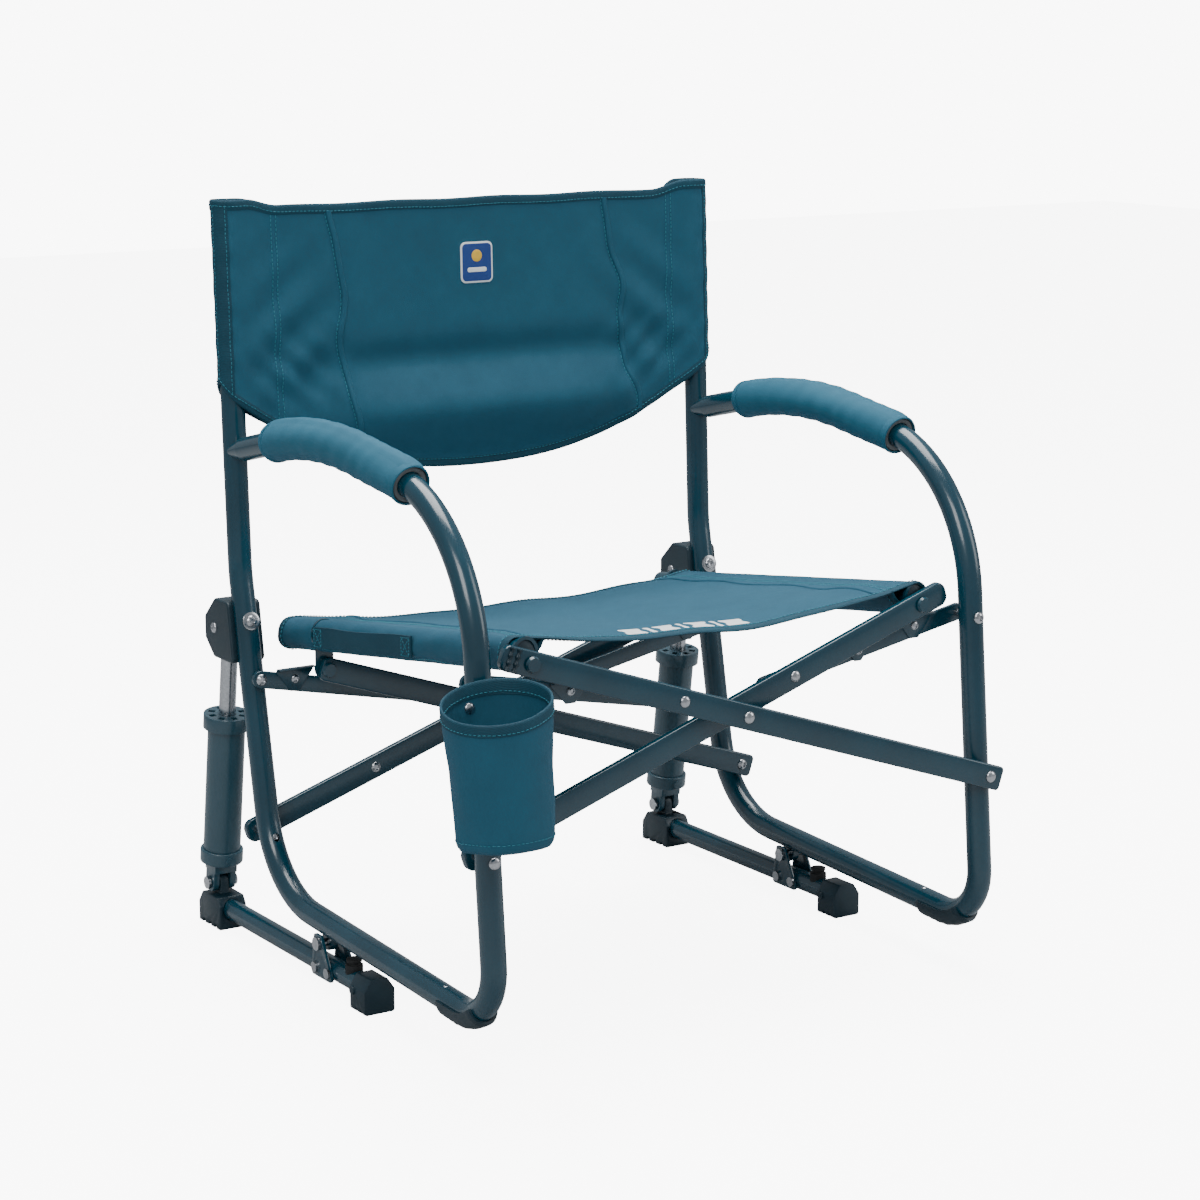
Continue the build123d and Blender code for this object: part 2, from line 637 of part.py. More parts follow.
# Stay links from each side frame in towards the bar that crosses to the far rail.
for side, s in (("left", -1), ("right", 1)):
    for end in ("front", "rear"):
        high = link_high[end]
        low_end_z = low_z["a" if end == "front" else "c"] + (track + link_in_x) * tan(radians(bar_deg))
        y = link_y[end + "_" + side]
        run = track - link_in_x
        drop = high - low_end_z
        length = hypot(run, drop)
        with BuildPart() as link:
            along = (-s * run / length, 0, -drop / length)
            plane = Plane(origin=(s * track, y + link_thick / 2, high), x_dir=along, z_dir=(0, -1, 0))
            with BuildSketch(plane):
                with Locations((length / 2, 0)):
                    SlotCenterToCenter(length, link_height)
                Circle(pin_r + fit, mode=Mode.SUBTRACT)
                with Locations((length, 0)):
                    Circle(pin_r, mode=Mode.SUBTRACT)
            extrude(amount=link_thick)
        keep(end + "_" + side + "_link", link.part)

# Seat rails with their end plugs, brackets and cloth sleeves.
for side, s in (("left", -1), ("right", 1)):
    x = s * rail_x
    front_bar, rear_bar = ("a", "d") if side == "left" else ("b", "c")
    tab_front = top_y[front_bar] + bar_thick / 2 + yaw[front_bar] * bar_tip + face_room + gap
    tab_rear = top_y[rear_bar] + bar_thick / 2 + gap
    if rear_bar == "c":
        tab_rear = top_y[rear_bar] - bar_thick / 2 - gap - 3.0
    rail_front = tab_front + 3.0 + 2 * fit
    slope_dir = (0, cos(rail_slope), -sin(rail_slope))
    rail_len = (rail_rear_y - rail_front) / cos(rail_slope)
    rail_at = Plane(origin=(x, rail_front, rail_z(rail_front)), x_dir=(1, 0, 0), z_dir=slope_dir)
    with BuildPart() as seat_rail:
        with BuildSketch(rail_at):
            Ellipse(rail_rx, rail_rz)
            Ellipse(rail_rx - rail_wall, rail_rz - rail_wall, mode=Mode.SUBTRACT)
        extrude(amount=rail_len)
    keep(side + "_seat_rail", seat_rail.part)

    with BuildPart() as rail_plugs:
        for at, way in ((rail_at, -1), (rail_at.offset(rail_len), 1)):
            with BuildSketch(at.offset(way * fit)):
                Ellipse(rail_rx, rail_rz)
            extrude(amount=way * 3.0)
            with BuildSketch(at.offset(way * 0.5)):
                Ellipse(rail_rx - rail_wall - fit, rail_rz - rail_wall - fit)
            extrude(amount=-way * 12.0)
    keep(side + "_rail_plugs", rail_plugs.part)

    with BuildPart() as rail_brackets:
        for bar, y0 in ((front_bar, tab_front), (rear_bar, tab_rear)):
            pin_z = low_z[bar] + rise_lower + rise_upper
            centre = rail_z(y0 + 1.5)
            with BuildSketch(Plane(origin=(x, y0 + 3.0, 0), x_dir=(1, 0, 0), z_dir=(0, -1, 0))):
                with Locations((0, centre)):
                    Ellipse(rail_rx + 3.5, rail_rz + 3.5)
                with Locations((0, pin_z)):
                    Circle(11.0)
                with Locations((0, (centre + pin_z) / 2)):
                    Rectangle(20.0, abs(centre - pin_z) + 0.1)
            extrude(amount=3.0)
            way = -1 if top_y[bar] < y0 else 1
            first = y0 + 3.0 if way < 0 else y0
            with BuildSketch(Plane(origin=(x, first, pin_z), x_dir=(1, 0, 0), z_dir=(0, way, 0))):
                Circle(pin_r)
            extrude(amount=abs(top_y[bar] - first) + bar_thick / 2 + 2.0)
            cap_y = top_y[bar] + way * (bar_thick / 2 + 1.8)
            with BuildSketch(Plane(origin=(x, cap_y, pin_z), x_dir=(1, 0, 0), z_dir=(0, way, 0))):
                Circle(8.0)
            extrude(amount=2.5, taper=30)
        with BuildSketch(rail_at.offset(-6.0)):
            Ellipse(rail_rx + fit, rail_rz + fit)
        extrude(amount=rail_len + 12.0, mode=Mode.SUBTRACT)
    keep(side + "_rail_brackets", rail_brackets.part)

    sleeve_from = rail_at.offset(8.0)
    with BuildPart() as sleeve:
        with BuildSketch(sleeve_from):
            Ellipse(rail_rx + 0.2 + cloth, rail_rz + 0.2 + cloth)
            Ellipse(rail_rx + 0.2, rail_rz + 0.2, mode=Mode.SUBTRACT)
        extrude(amount=tab_rear - rail_front - 22.0)
    keep(side + "_seat_sleeve", sleeve.part)

# Seat cloth hung between the sleeves, sagging across.
seat_x = rail_x - rail_rx - 3.5 - gap
seat_front = -215.0
with BuildPart() as seat_cloth:
    down_rail = (0, cos(rail_slope), -sin(rail_slope))
    base = Plane(origin=(0, seat_front, rail_z(seat_front)), x_dir=(1, 0, 0), z_dir=down_rail)
    up = 1 if base.y_dir.Z > 0 else -1
    with BuildSketch(base):
        with BuildLine():
            ThreePointArc((-seat_x, up * 5.0), (0, up * -14.0), (seat_x, up * 5.0))
            Line((seat_x, up * 5.0), (seat_x, up * (5.0 - sheet)))
            edge_z = up * (5.0 - sheet)
            ThreePointArc((seat_x, edge_z), (0, up * (-14.0 - sheet)), (-seat_x, edge_z))
            Line((-seat_x, up * (5.0 - sheet)), (-seat_x, up * 5.0))
        make_face()
    extrude(amount=384.0)
keep("seat_cloth", seat_cloth.part)

# Back cloth between the post pockets, its lower edge dipping in the middle.
back_x = track - tube_r - gap - cloth - gap
back_dir = (0, -(post_top[1] - dimple[1]), post_top[0] - dimple[0])
with BuildPart() as back_cloth:
    base = Plane(origin=(0, post_y(pocket_low), pocket_low), x_dir=(1, 0, 0), z_dir=back_dir)
    with BuildSketch(base):
        with BuildLine():
            Line((-back_x, 0), (-back_x, post_top[1] - pocket_low))
            Line((-back_x, post_top[1] - pocket_low), (back_x, post_top[1] - pocket_low))
            Line((back_x, post_top[1] - pocket_low), (back_x, 0))
            ThreePointArc((back_x, 0), (0, back_low - pocket_low), (-back_x, 0))
        make_face()
    extrude(amount=sheet / 2, both=True)
keep("back_cloth", back_cloth.part)

with BuildPart() as badge:
    badge_at = Plane(origin=(4, post_y(704.0), 704.0), x_dir=(1, 0, 0), z_dir=back_dir)
    with BuildSketch(badge_at.offset(sheet / 2 + 0.05)):
        RectangleRounded(40.0, 44.0, 5.0)
    extrude(amount=1.2)
keep("badge", badge.part)

# Cup holder on the left front leg.
with BuildPart() as cup_holder:
    lean = radians(cup_lean)
    low_at = Plane(
        origin=(cup_x, cup_y - cup_deep * sin(lean), cup_rim_z - cup_deep * cos(lean)),
        x_dir=(1, 0, 0),
        z_dir=(0, sin(lean), cos(lean)),
    )
    with BuildSketch(low_at):
        Circle(cup_low_r)
    with BuildSketch(low_at.offset(cup_deep)):
        Circle(cup_top_r)
    loft()
    with BuildSketch(low_at.offset(3.0)):
        Circle(cup_low_r - 2.5)
    with BuildSketch(low_at.offset(cup_deep + 1.0)):
        Circle(cup_top_r - 2.5)
    loft(mode=Mode.SUBTRACT)
keep("cup_holder", cup_holder.part)

# Pull handle sewn to the outside of the left sleeve.
with BuildPart() as pull_handle:
    handle_x = -(rail_x + rail_rx + 0.2 + cloth + gap)
    with BuildSketch(Plane.YZ.offset(handle_x - 2.5)):
        with BuildLine():
            Polyline(
                (handle_from, rail_z(handle_from) - 9.0),
                (handle_to, rail_z(handle_to) - 9.0),
                (handle_to, rail_z(handle_to) + 9.0),
                (handle_from, rail_z(handle_from) + 9.0),
                close=True,
            )
        make_face()
    extrude(amount=2.5)
keep("pull_handle", pull_handle.part)

# Stand the whole chair on the middle of its own footprint.
boxes = [piece.bounding_box() for piece in made.values()]
shift_x = -(min(b.min.X for b in boxes) + max(b.max.X for b in boxes)) / 2
shift_y = -(min(b.min.Y for b in boxes) + max(b.max.Y for b in boxes)) / 2
shift_z = -min(b.min.Z for b in boxes)
print("shift", round(shift_x, 4), round(shift_y, 4), round(shift_z, 4), "nodes", len(made))

os.makedirs("parts", exist_ok=True)
for name, piece in made.items():
    placed = piece.moved(Location((shift_x, shift_y, shift_z)))
    placed.label = name
    export_step(placed, "parts/" + name + ".step")
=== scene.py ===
import json
import math
import random

import bmesh
import bpy
import numpy as np
from mathutils import Matrix, Vector


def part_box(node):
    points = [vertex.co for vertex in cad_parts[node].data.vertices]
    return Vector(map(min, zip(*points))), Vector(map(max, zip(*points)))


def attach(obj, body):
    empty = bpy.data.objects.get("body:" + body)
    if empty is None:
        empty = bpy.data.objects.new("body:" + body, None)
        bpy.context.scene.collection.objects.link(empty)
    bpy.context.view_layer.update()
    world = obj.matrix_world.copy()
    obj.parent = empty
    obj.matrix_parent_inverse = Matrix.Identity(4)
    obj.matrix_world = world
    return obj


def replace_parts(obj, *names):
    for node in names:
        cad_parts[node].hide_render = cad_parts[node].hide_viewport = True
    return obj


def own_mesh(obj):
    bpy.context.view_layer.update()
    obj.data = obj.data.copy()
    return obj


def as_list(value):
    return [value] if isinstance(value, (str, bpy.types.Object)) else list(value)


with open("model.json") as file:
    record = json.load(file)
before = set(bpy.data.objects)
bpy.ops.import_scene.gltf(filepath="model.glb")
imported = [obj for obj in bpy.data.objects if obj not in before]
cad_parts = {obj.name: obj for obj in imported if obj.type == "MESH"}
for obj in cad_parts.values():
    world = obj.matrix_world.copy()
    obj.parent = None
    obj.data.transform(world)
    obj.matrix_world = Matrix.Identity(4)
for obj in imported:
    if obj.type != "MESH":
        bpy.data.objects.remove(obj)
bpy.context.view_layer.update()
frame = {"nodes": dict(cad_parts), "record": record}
print("frame loaded")

# The chair's own drawing sizes in millimetres: X right, the chair faces -Y, floor at zero.
chair = {
    "track": 290.0, "tubeR": 12.5,
    "postTop": (257.0, 775.0), "postDimple": (240.5, 398.0), "postLow": (176.0, 70.0),
    "legLow": (-272.0, 51.0), "legHigh": (-229.0, 527.0),
    "railX": 236.0, "railFrontZ": 395.0, "railRearZ": 330.0,
    "barDeg": 18.5,
}

leftTube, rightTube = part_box("left_side_tube"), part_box("right_side_tube")
originX = (leftTube[0].x + rightTube[1].x) / 2  # the drawing's zero, in the model's metres
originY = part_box("left_foot_tube")[0].y + 0.040  # the foot tube starts at y -40
random.seed(7)


def at(x, y, z):
    return Vector((originX + x / 1000, originY + y / 1000, z / 1000))


def mix(a, b, t):
    return a + (b - a) * t


def postY(z):
    a, b = (chair["postDimple"], chair["postTop"]) if z > chair["postDimple"][1] else (chair["postLow"],
        chair["postDimple"])
    return mix(a[0], b[0], (z - a[1]) / (b[1] - a[1]))


def legY(z):
    a, b = chair["legLow"], chair["legHigh"]
    return mix(a[0], b[0], (z - a[1]) / (b[1] - a[1]))


def railZ(y):
    return mix(chair["railFrontZ"], chair["railRearZ"], (y + 245) / 473)


def bump(x, centre, wide):
    return math.exp(-((x - centre) / wide) ** 2)


# Shader helpers.
class Wire:
    def __init__(self, shade, socket):
        self.shade, self.socket = shade, socket

    def math(self, kind, *others, clamp=False):
        node = self.shade.tree.nodes.new("ShaderNodeMath")
        node.operation, node.use_clamp = kind, clamp
        for slot, value in zip(node.inputs, (self, *others)):
            self.shade.feed(slot, value)
        return Wire(self.shade, node.outputs[0])

    def __add__(self, other): return self.math("ADD", other)
    def __radd__(self, other): return self.math("ADD", other)
    def __sub__(self, other): return self.math("SUBTRACT", other)
    def __rsub__(self, other): return self.shade.number(other).math("SUBTRACT", self)
    def __mul__(self, other): return self.math("MULTIPLY", other)
    def __rmul__(self, other): return self.math("MULTIPLY", other)
    def __truediv__(self, other): return self.math("DIVIDE", other)
    def __pow__(self, other): return self.math("POWER", other)


class Shade:
    def __init__(self, name):
        self.material = bpy.data.materials.new(name)
        self.material.use_nodes = True
        self.tree = self.material.node_tree
        self.bsdf = self.tree.nodes["Principled BSDF"]

    def feed(self, slot, value):
        if isinstance(value, Wire):
            self.tree.links.new(value.socket, slot)
        else:
            slot.default_value = value

    def number(self, value):
        node = self.tree.nodes.new("ShaderNodeValue")
        node.outputs[0].default_value = value
        return Wire(self, node.outputs[0])

    def node(self, kind, settings=None, out=0, **inputs):
        node = self.tree.nodes.new("ShaderNode" + kind)
        for key, value in (settings or {}).items():
            if key == "stops":
                ramp = node.color_ramp
                while len(ramp.elements) < len(value):
                    ramp.elements.new(0.5)
                for element, (place, colour) in zip(ramp.elements, value):
                    element.position, element.color = place, colour
            else:
                setattr(node, key, value)
        for key, value in inputs.items():
            numbered = key[0] == "i" and key[1:].isdigit()
            self.feed(node.inputs[int(key[1:]) if numbered else key.replace("_", " ")], value)
        return Wire(self, node.outputs[out])

    def place(self):
        return self.node("TexCoord", out=3)

    def blendColour(self, share, a, b):
        return self.node("Mix", {"data_type": "RGBA"}, out=2, i0=share, i6=a, i7=b)

    def finish(self, **sockets):
        for key, value in sockets.items():
            self.feed(self.bsdf.inputs[key.replace("_", " ")], value)
        return self.material


def tint(hexCode):
    parts = [int(hexCode[i:i + 2], 16) / 255 for i in (0, 2, 4)]
    return tuple((c / 12.92 if c < 0.04045 else ((c + 0.055) / 1.055) ** 2.4) for c in parts) + (1.0,)


finishes = {
    "powderCoat": {"deep": "062D3B", "light": "0D4455", "rough": 0.24, "coat": 0.3},
    "shockCoat": {"deep": "1B3D4B", "light": "26505F", "rough": 0.34, "coat": 0.3},
    "canvas": {"deep": "1D4A5E", "light": "285E75", "rough": 0.82},
    "webbing": {"deep": "0B3444", "light": "134A5C", "rough": 0.75},
    "thread": {"deep": "2A7185", "light": "3E8798", "rough": 0.6},
    "padCloth": {"deep": "22566B", "light": "306C84", "rough": 0.8},
    "foam": {"deep": "55595C", "light": "7A7E80", "rough": 0.95},
    "zinc": {"deep": "9A9CA0", "light": "D8DADD", "rough": 0.2},
    "darkPlastic": {"deep": "0A222C", "light": "12303C", "rough": 0.4},
    "rubber": {"deep": "101113", "light": "1D1F21", "rough": 0.7},
    "patchBlue": {"deep": "1F3A78", "light": "2A4B92", "rough": 0.7},
    "patchYellow": {"deep": "E3B23C", "light": "F5C84C", "rough": 0.6},
    "printWhite": {"deep": "DDE3E4", "light": "F5F7F7", "rough": 0.6},
}


def paintFinish(key):
    f = finishes[key]
    s = Shade(key)
    spot = s.place()
    cloud = s.node("TexNoise", Vector=spot, Scale=14.0, Detail=3.0)
    peel = s.node("TexNoise", Vector=spot, Scale=900.0, Detail=1.0)
    speck = s.node("TexNoise", Vector=spot, Scale=260.0, Detail=4.0)
    base = s.blendColour(cloud.math("MULTIPLY_ADD", 1.2, -0.1, clamp=True), tint(f["deep"]),
        tint(f["light"]))
    bump = s.node("Bump", Strength=0.05, Distance=0.0004, Height=peel)
    return s.finish(Base_Color=base, Roughness=speck * 0.12 + f["rough"] - 0.06, Metallic=0.0,
                    Coat_Weight=f["coat"], Coat_Roughness=0.08, Specular_IOR_Level=0.6, Normal=bump)


def clothFinish(key, pitch=0.0011, ribs=False, fuzz=0.25):
    f = finishes[key]
    s = Shade(key)
    spot = s.place()
    x, y, z = (s.node("SeparateXYZ", out=i, Vector=spot) for i in range(3))
    turn = 2 * math.pi / pitch
    lift = (x * turn).math("SINE") * ((z + y * 0.9) * turn).math("SINE")
    if ribs:
        lift = ((x + y + z) * (turn * 0.6)).math("SINE")
    mottle = s.node("TexNoise", Vector=spot, Scale=38.0, Detail=6.0)
    slub = s.node("TexNoise", Vector=spot, Scale=700.0, Detail=3.0)
    share = (mottle * 0.55 + slub * 0.55 + lift * 0.1).math("ADD", -0.08, clamp=True)
    base = s.blendColour(share, tint(f["deep"]), tint(f["light"]))
    bump = s.node("Bump", Strength=0.35, Distance=0.00035, Height=lift * 0.5 + slub * 1.2)
    return s.finish(Base_Color=base, Roughness=slub * 0.1 + f["rough"] - 0.05, Sheen_Weight=fuzz,
        Sheen_Roughness=0.45,
                    Sheen_Tint=tint(f["light"]), Specular_IOR_Level=0.35, Normal=bump)


def metalFinish(key):
    f = finishes[key]
    s = Shade(key)
    spot = s.place()
    scuff = s.node("TexNoise", Vector=spot, Scale=420.0, Detail=5.0)
    base = s.blendColour(scuff, tint(f["deep"]), tint(f["light"]))
    bump = s.node("Bump", Strength=0.04, Distance=0.0002, Height=scuff)
    return s.finish(Base_Color=base, Roughness=scuff * 0.16 + f["rough"] - 0.05, Metallic=1.0, Normal=bump)


def mouldedFinish(key, grain=0.18):
    f = finishes[key]
    s = Shade(key)
    spot = s.place()
    pits = s.node("TexNoise", Vector=spot, Scale=1500.0, Detail=2.0)
    wear = s.node("TexNoise", Vector=spot, Scale=60.0, Detail=5.0)
    base = s.blendColour(wear, tint(f["deep"]), tint(f["light"]))
    bump = s.node("Bump", Strength=grain, Distance=0.0003, Height=pits)
    return s.finish(Base_Color=base, Roughness=wear * 0.15 + f["rough"] - 0.05, Normal=bump)


paint = paintFinish("powderCoat")
shockPaint = paintFinish("shockCoat")
canvas = clothFinish("canvas")
webbing = clothFinish("webbing", pitch=0.0016, ribs=True)
thread = clothFinish("thread", pitch=0.0008, ribs=True, fuzz=0.1)
padCloth = clothFinish("padCloth", pitch=0.0012)
foam = mouldedFinish("foam", grain=0.6)
zinc = metalFinish("zinc")
plastic = mouldedFinish("darkPlastic")
rubber = mouldedFinish("rubber", grain=0.3)
patchBlue = clothFinish("patchBlue", pitch=0.0009, fuzz=0.1)
patchYellow = clothFinish("patchYellow", pitch=0.0009, fuzz=0.1)
printWhite = mouldedFinish("printWhite", grain=0.1)
print("finishes made")


# Mesh helpers.
def piece(name, verts, faces, material, body=None, smooth=True, sharp=40.0):
    mesh = bpy.data.meshes.new(name)
    mesh.from_pydata([tuple(v) for v in verts], [], [tuple(f) for f in faces])
    bm = bmesh.new()
    bm.from_mesh(mesh)
    bmesh.ops.remove_doubles(bm, verts=bm.verts, dist=1e-6)
    bmesh.ops.recalc_face_normals(bm, faces=bm.faces)
    for face in bm.faces:
        face.smooth = smooth
    for edge in bm.edges:
        edge.smooth = not edge.is_manifold or edge.calc_face_angle(0.0) < math.radians(sharp)
    bm.to_mesh(mesh)
    bm.free()
    obj = bpy.data.objects.new(name, mesh)
    bpy.context.scene.collection.objects.link(obj)
    mesh.materials.append(material)
    if body:
        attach(obj, body)
    return obj


def ringFaces(rings, around, closed=True, caps=True):
    faces = []
    for i in range(rings - 1):
        for j in range(around if closed else around - 1):
            k = (j + 1) % around
            faces.append((i * around + j, i * around + k, (i + 1) * around + k, (i + 1) * around + j))
    if caps and closed:
        faces.append(tuple(range(around - 1, -1, -1)))
        faces.append(tuple((rings - 1) * around + j for j in range(around)))
    return faces


def basis(direction, hint=Vector((1, 0, 0))):
    d = Vector(direction).normalized()
    side = hint - d * hint.dot(d)
    if side.length < 1e-6:
        side = Vector((0, 1, 0)) - d * d.y
    side.normalize()
    return side, d.cross(side), d


def lathe(name, centre, direction, profile, material, body=None, around=28, sharp=35.0):
    side, up, d = basis(direction)
    verts = []
    for along, r in profile:
        for j in range(around):
            a = 2 * math.pi * j / around
            verts.append(centre + d * along + (side * math.cos(a) + up * math.sin(a)) * max(r, 1e-5))
    return piece(name, verts, ringFaces(len(profile), around), material, body, sharp=sharp)


def tube(name, points, section, material, body=None, caps=True, sharp=40.0, hint=Vector((1, 0, 0))):
    # section(t) gives the outline (side, up) at a share of the way, in metres
    points = [Vector(p) for p in points]
    verts, around = [], 0
    for i, p in enumerate(points):
        before, after = points[max(i - 1, 0)], points[min(i + 1, len(points) - 1)]
        side, up, d = basis(after - before, hint)
        ring = section(i / (len(points) - 1))
        around = len(ring)
        verts += [p + side * a + up * b for a, b in ring]
    return piece(name, verts, ringFaces(len(points), around, caps=caps), material, body, sharp=sharp)


def circle(r, n=24, rz=None):
    return [(r * math.cos(2 * math.pi * j / n), (rz or r) * math.sin(2 * math.pi * j / n))
        for j in range(n)]


def softened(node, material, width=0.0008, angle=35.0, segments=2):
    # a bevelled copy of a CAD node, standing for it
    source = frame["nodes"][node]
    mesh = source.data.copy()
    obj = bpy.data.objects.new("soft_" + node, mesh)
    bpy.context.scene.collection.objects.link(obj)
    bm = bmesh.new()
    bm.from_mesh(mesh)
    bmesh.ops.remove_doubles(bm, verts=bm.verts, dist=2e-6)
    bmesh.ops.dissolve_limit(bm, angle_limit=math.radians(1.0), verts=bm.verts, edges=bm.edges)
    bm.to_mesh(mesh)
    bm.free()
    mesh.materials.clear()
    mesh.materials.append(material)
    bevel = obj.modifiers.new("edge", "BEVEL")
    bevel.width, bevel.segments = width, segments
    bevel.limit_method, bevel.angle_limit = "ANGLE", math.radians(angle)
    bevel.harden_normals = False
    bpy.context.view_layer.update()
    done = bpy.data.meshes.new_from_object(obj.evaluated_get(bpy.context.evaluated_depsgraph_get()))
    obj.modifiers.clear()
    obj.data = done
    done.polygons.foreach_set("use_smooth", [True] * len(done.polygons))
    bm = bmesh.new()
    bm.from_mesh(done)
    for edge in bm.edges:
        edge.smooth = not edge.is_manifold or edge.calc_face_angle(0.0) < math.radians(30)
    bm.to_mesh(done)
    bm.free()
    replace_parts(obj, node)
    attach(obj, bodyOf[node])
    return obj


bodyOf = {node: body for body, nodes in frame["record"]["behaviour"]["bodies"].items() for node in nodes}


def dress(node, material):
    obj = frame["nodes"][node]
    obj.data.materials.clear()
    obj.data.materials.append(material)


def rivet(name, centre, direction, body, r=6.5, dome=3.0, washer=0.0, socket=False):
    # a domed head, with a washer under it where there is one, or a recessed hex socket
    rise = [(0.0, r * 0.72)]
    if washer:
        rise = [(-0.2, washer), (0.9, washer), (1.2, washer - 0.5), (1.2, r)]
    else:
        rise = [(-0.2, r * 1.02), (0.5, r * 1.02)]
    steps = 7
    base = rise[-1][0]
    rise += [(base + dome * math.sin(k / steps * math.pi / 2), r * math.cos(k / steps * math.pi / 2))
        for k in range(steps)]
    if socket:
        top = base + dome
        rise = [p for p in rise if p[1] > r * 0.5] + [(top * 0.96, r * 0.48), (top * 0.5, r * 0.42),
            (top * 0.45, 0.0)]
    else:
        rise.append((base + dome, 0.0))
    return lathe(name, centre, direction, [(a / 1000, b / 1000) for a, b in rise], zinc, body, around=24)


def stitchRow(name, spots, body=None, length=3.2, wide=0.8, high=0.7, step=4.4):
    # spots: (point, normal) pairs along the seam; each stitch is a small raised lozenge
    spots = [(Vector(p), Vector(n).normalized()) for p, n in spots]
    run = [0.0]
    for (a, _), (b, _) in zip(spots, spots[1:]):
        run.append(run[-1] + (b - a).length)
    total, verts, faces = run[-1], [], []
    count = max(2, int(total * 1000 / step))
    k = 0
    for i in range(count):
        d = total * (i + 0.5) / count
        while k < len(run) - 2 and run[k + 1] < d:
            k += 1
        t = (d - run[k]) / max(run[k + 1] - run[k], 1e-9)
        p, n = spots[k][0].lerp(spots[k + 1][0], t), spots[k][1].lerp(spots[k + 1][1], t).normalized()
        along = (spots[k + 1][0] - spots[k][0]).normalized()
        side = n.cross(along).normalized()
        jog = side * random.uniform(-0.00015, 0.00015)
        start = len(verts)
        for share, size in ((-0.5, 0.35), (-0.28, 1.0), (0.28, 1.0), (0.5, 0.35)):
            c = p + jog + along * (share * length / 1000)
            for a, b in ((-0.5, -0.3), (-0.32, 0.75), (0.32, 0.75), (0.5, -0.3)):
                verts.append(c + side * (a * wide * size / 1000) + n * (b * high * size / 1000))
        for ring in range(3):
            for j in range(4):
                faces.append((start + ring * 4 + j, start + ring * 4 + (j + 1) % 4,
                              start + ring * 4 + 4 + (j + 1) % 4, start + ring * 4 + 4 + j))
        faces += [(start + 3, start + 2, start + 1, start), (start + 12, start + 13, start + 14,
            start + 15)]
    return piece(name, verts, faces, thread, body, sharp=80)


class Grid:
    # a rectangular net of points that can be read between its knots
    def __init__(self, points):
        self.p = np.array(points, float)
        self.rows, self.cols = self.p.shape[:2]
        du = np.gradient(self.p, axis=1)
        dv = np.gradient(self.p, axis=0)
        n = np.cross(du, dv)
        self.n = n / np.maximum(np.linalg.norm(n, axis=2, keepdims=True), 1e-12)

    def read(self, u, v, field=None):
        field = self.p if field is None else field
        x, y = min(max(u, 0), 1) * (self.cols - 1), min(max(v, 0), 1) * (self.rows - 1)
        i, j = min(int(x), self.cols - 2), min(int(y), self.rows - 2)
        s, t = x - i, y - j
        near = field[j, i] * (1 - s) + field[j, i + 1] * s
        far = field[j + 1, i] * (1 - s) + field[j + 1, i + 1] * s
        return Vector(near * (1 - t) + far * t)

    def spot(self, u, v, lift=0.0):
        n = self.read(u, v, self.n).normalized()
        return self.read(u, v) + n * lift, n


def clothFromGrid(name, grid, thick, material):
    rows, cols = grid.rows, grid.cols
    top = grid.p + grid.n * thick / 2
    low = grid.p - grid.n * thick / 2
    verts = [*top.reshape(-1, 3), *low.reshape(-1, 3)]
    off, faces = rows * cols, []
    for j in range(rows - 1):
        for i in range(cols - 1):
            a, b, c, d = j * cols + i, j * cols + i + 1, (j + 1) * cols + i + 1, (j + 1) * cols + i
            faces += [(a, b, c, d), (off + d, off + c, off + b, off + a)]
    for i in range(cols - 1):
        faces += [(i + 1, i, off + i, off + i + 1), ((rows - 1) * cols + i, (rows - 1) * cols + i + 1,
            off + (rows - 1) * cols + i + 1, off + (rows - 1) * cols + i)]
    for j in range(rows - 1):
        faces += [(j * cols, (j + 1) * cols, off + (j + 1) * cols, off + j * cols),
                  ((j + 1) * cols + cols - 1, j * cols + cols - 1, off + j * cols + cols - 1,
                      off + (j + 1) * cols + cols - 1)]
    return piece(name, verts, faces, material, sharp=60)


def binding(name, grid, path, inward, wide=9.0, thick=1.5):
    # webbing folded over the edge of a cloth: path gives (u, v) knots, inward the way in, as (du, dv)
    verts = []
    ring = [(-0.12, 0.0), (0.0, 0.75), (0.15, 1.0), (0.85, 1.0), (1.0, 0.75), (1.0, 0.3),
            (1.0, -0.3), (1.0, -0.75), (0.85, -1.0), (0.15, -1.0), (0.0, -0.75)]
    for (u, v), (du, dv) in zip(path, inward):
        p, n = grid.spot(u, v)
        q, _ = grid.spot(u + du, v + dv)
        way = (q - p)
        way -= n * way.dot(n)
        way.normalize()
        verts += [p + way * (a * wide / 1000) + n * (b * thick / 1000) for a, b in ring]
    return piece(name, verts, ringFaces(len(path), len(ring)), webbing, sharp=70)


def gridSpot(grid, s, v, lift):
    p, n = grid.spot(s, v, lift / 1000)
    return p, n * (1 if lift > 0 else -1)


def boundEdges(grid, sign, edges, faces, knots, inset, lift=1.9):
    # binding along the first and last row of a net, stitched through on both faces
    made, along = [], [k / knots for k in range(knots + 1)]
    for name, v in edges.items():
        way = 1 if v == 0 else -1
        path, inward = [(s, v) for s in along], [(0, way * 0.03)] * len(along)
        made.append(binding(name, grid, path, inward, wide=9.5, thick=1.6))
        for out in (lift, -lift):
            face = faces[0] if out * sign > 0 else faces[1]
            spots = [gridSpot(grid, s, v + way * inset, out) for s in along]
            made.append(stitchRow(name + face + "Stitches", spots))
    return made


def wrinkle(x, y, amount, scale, seed=0.0):
    return amount * (math.sin(x * scale + seed) * math.sin(y * scale * 0.7 + seed * 2.1 + 1.3)
                     + 0.5 * math.sin(x * scale * 1.9 + y * scale * 1.1 + seed * 0.7))


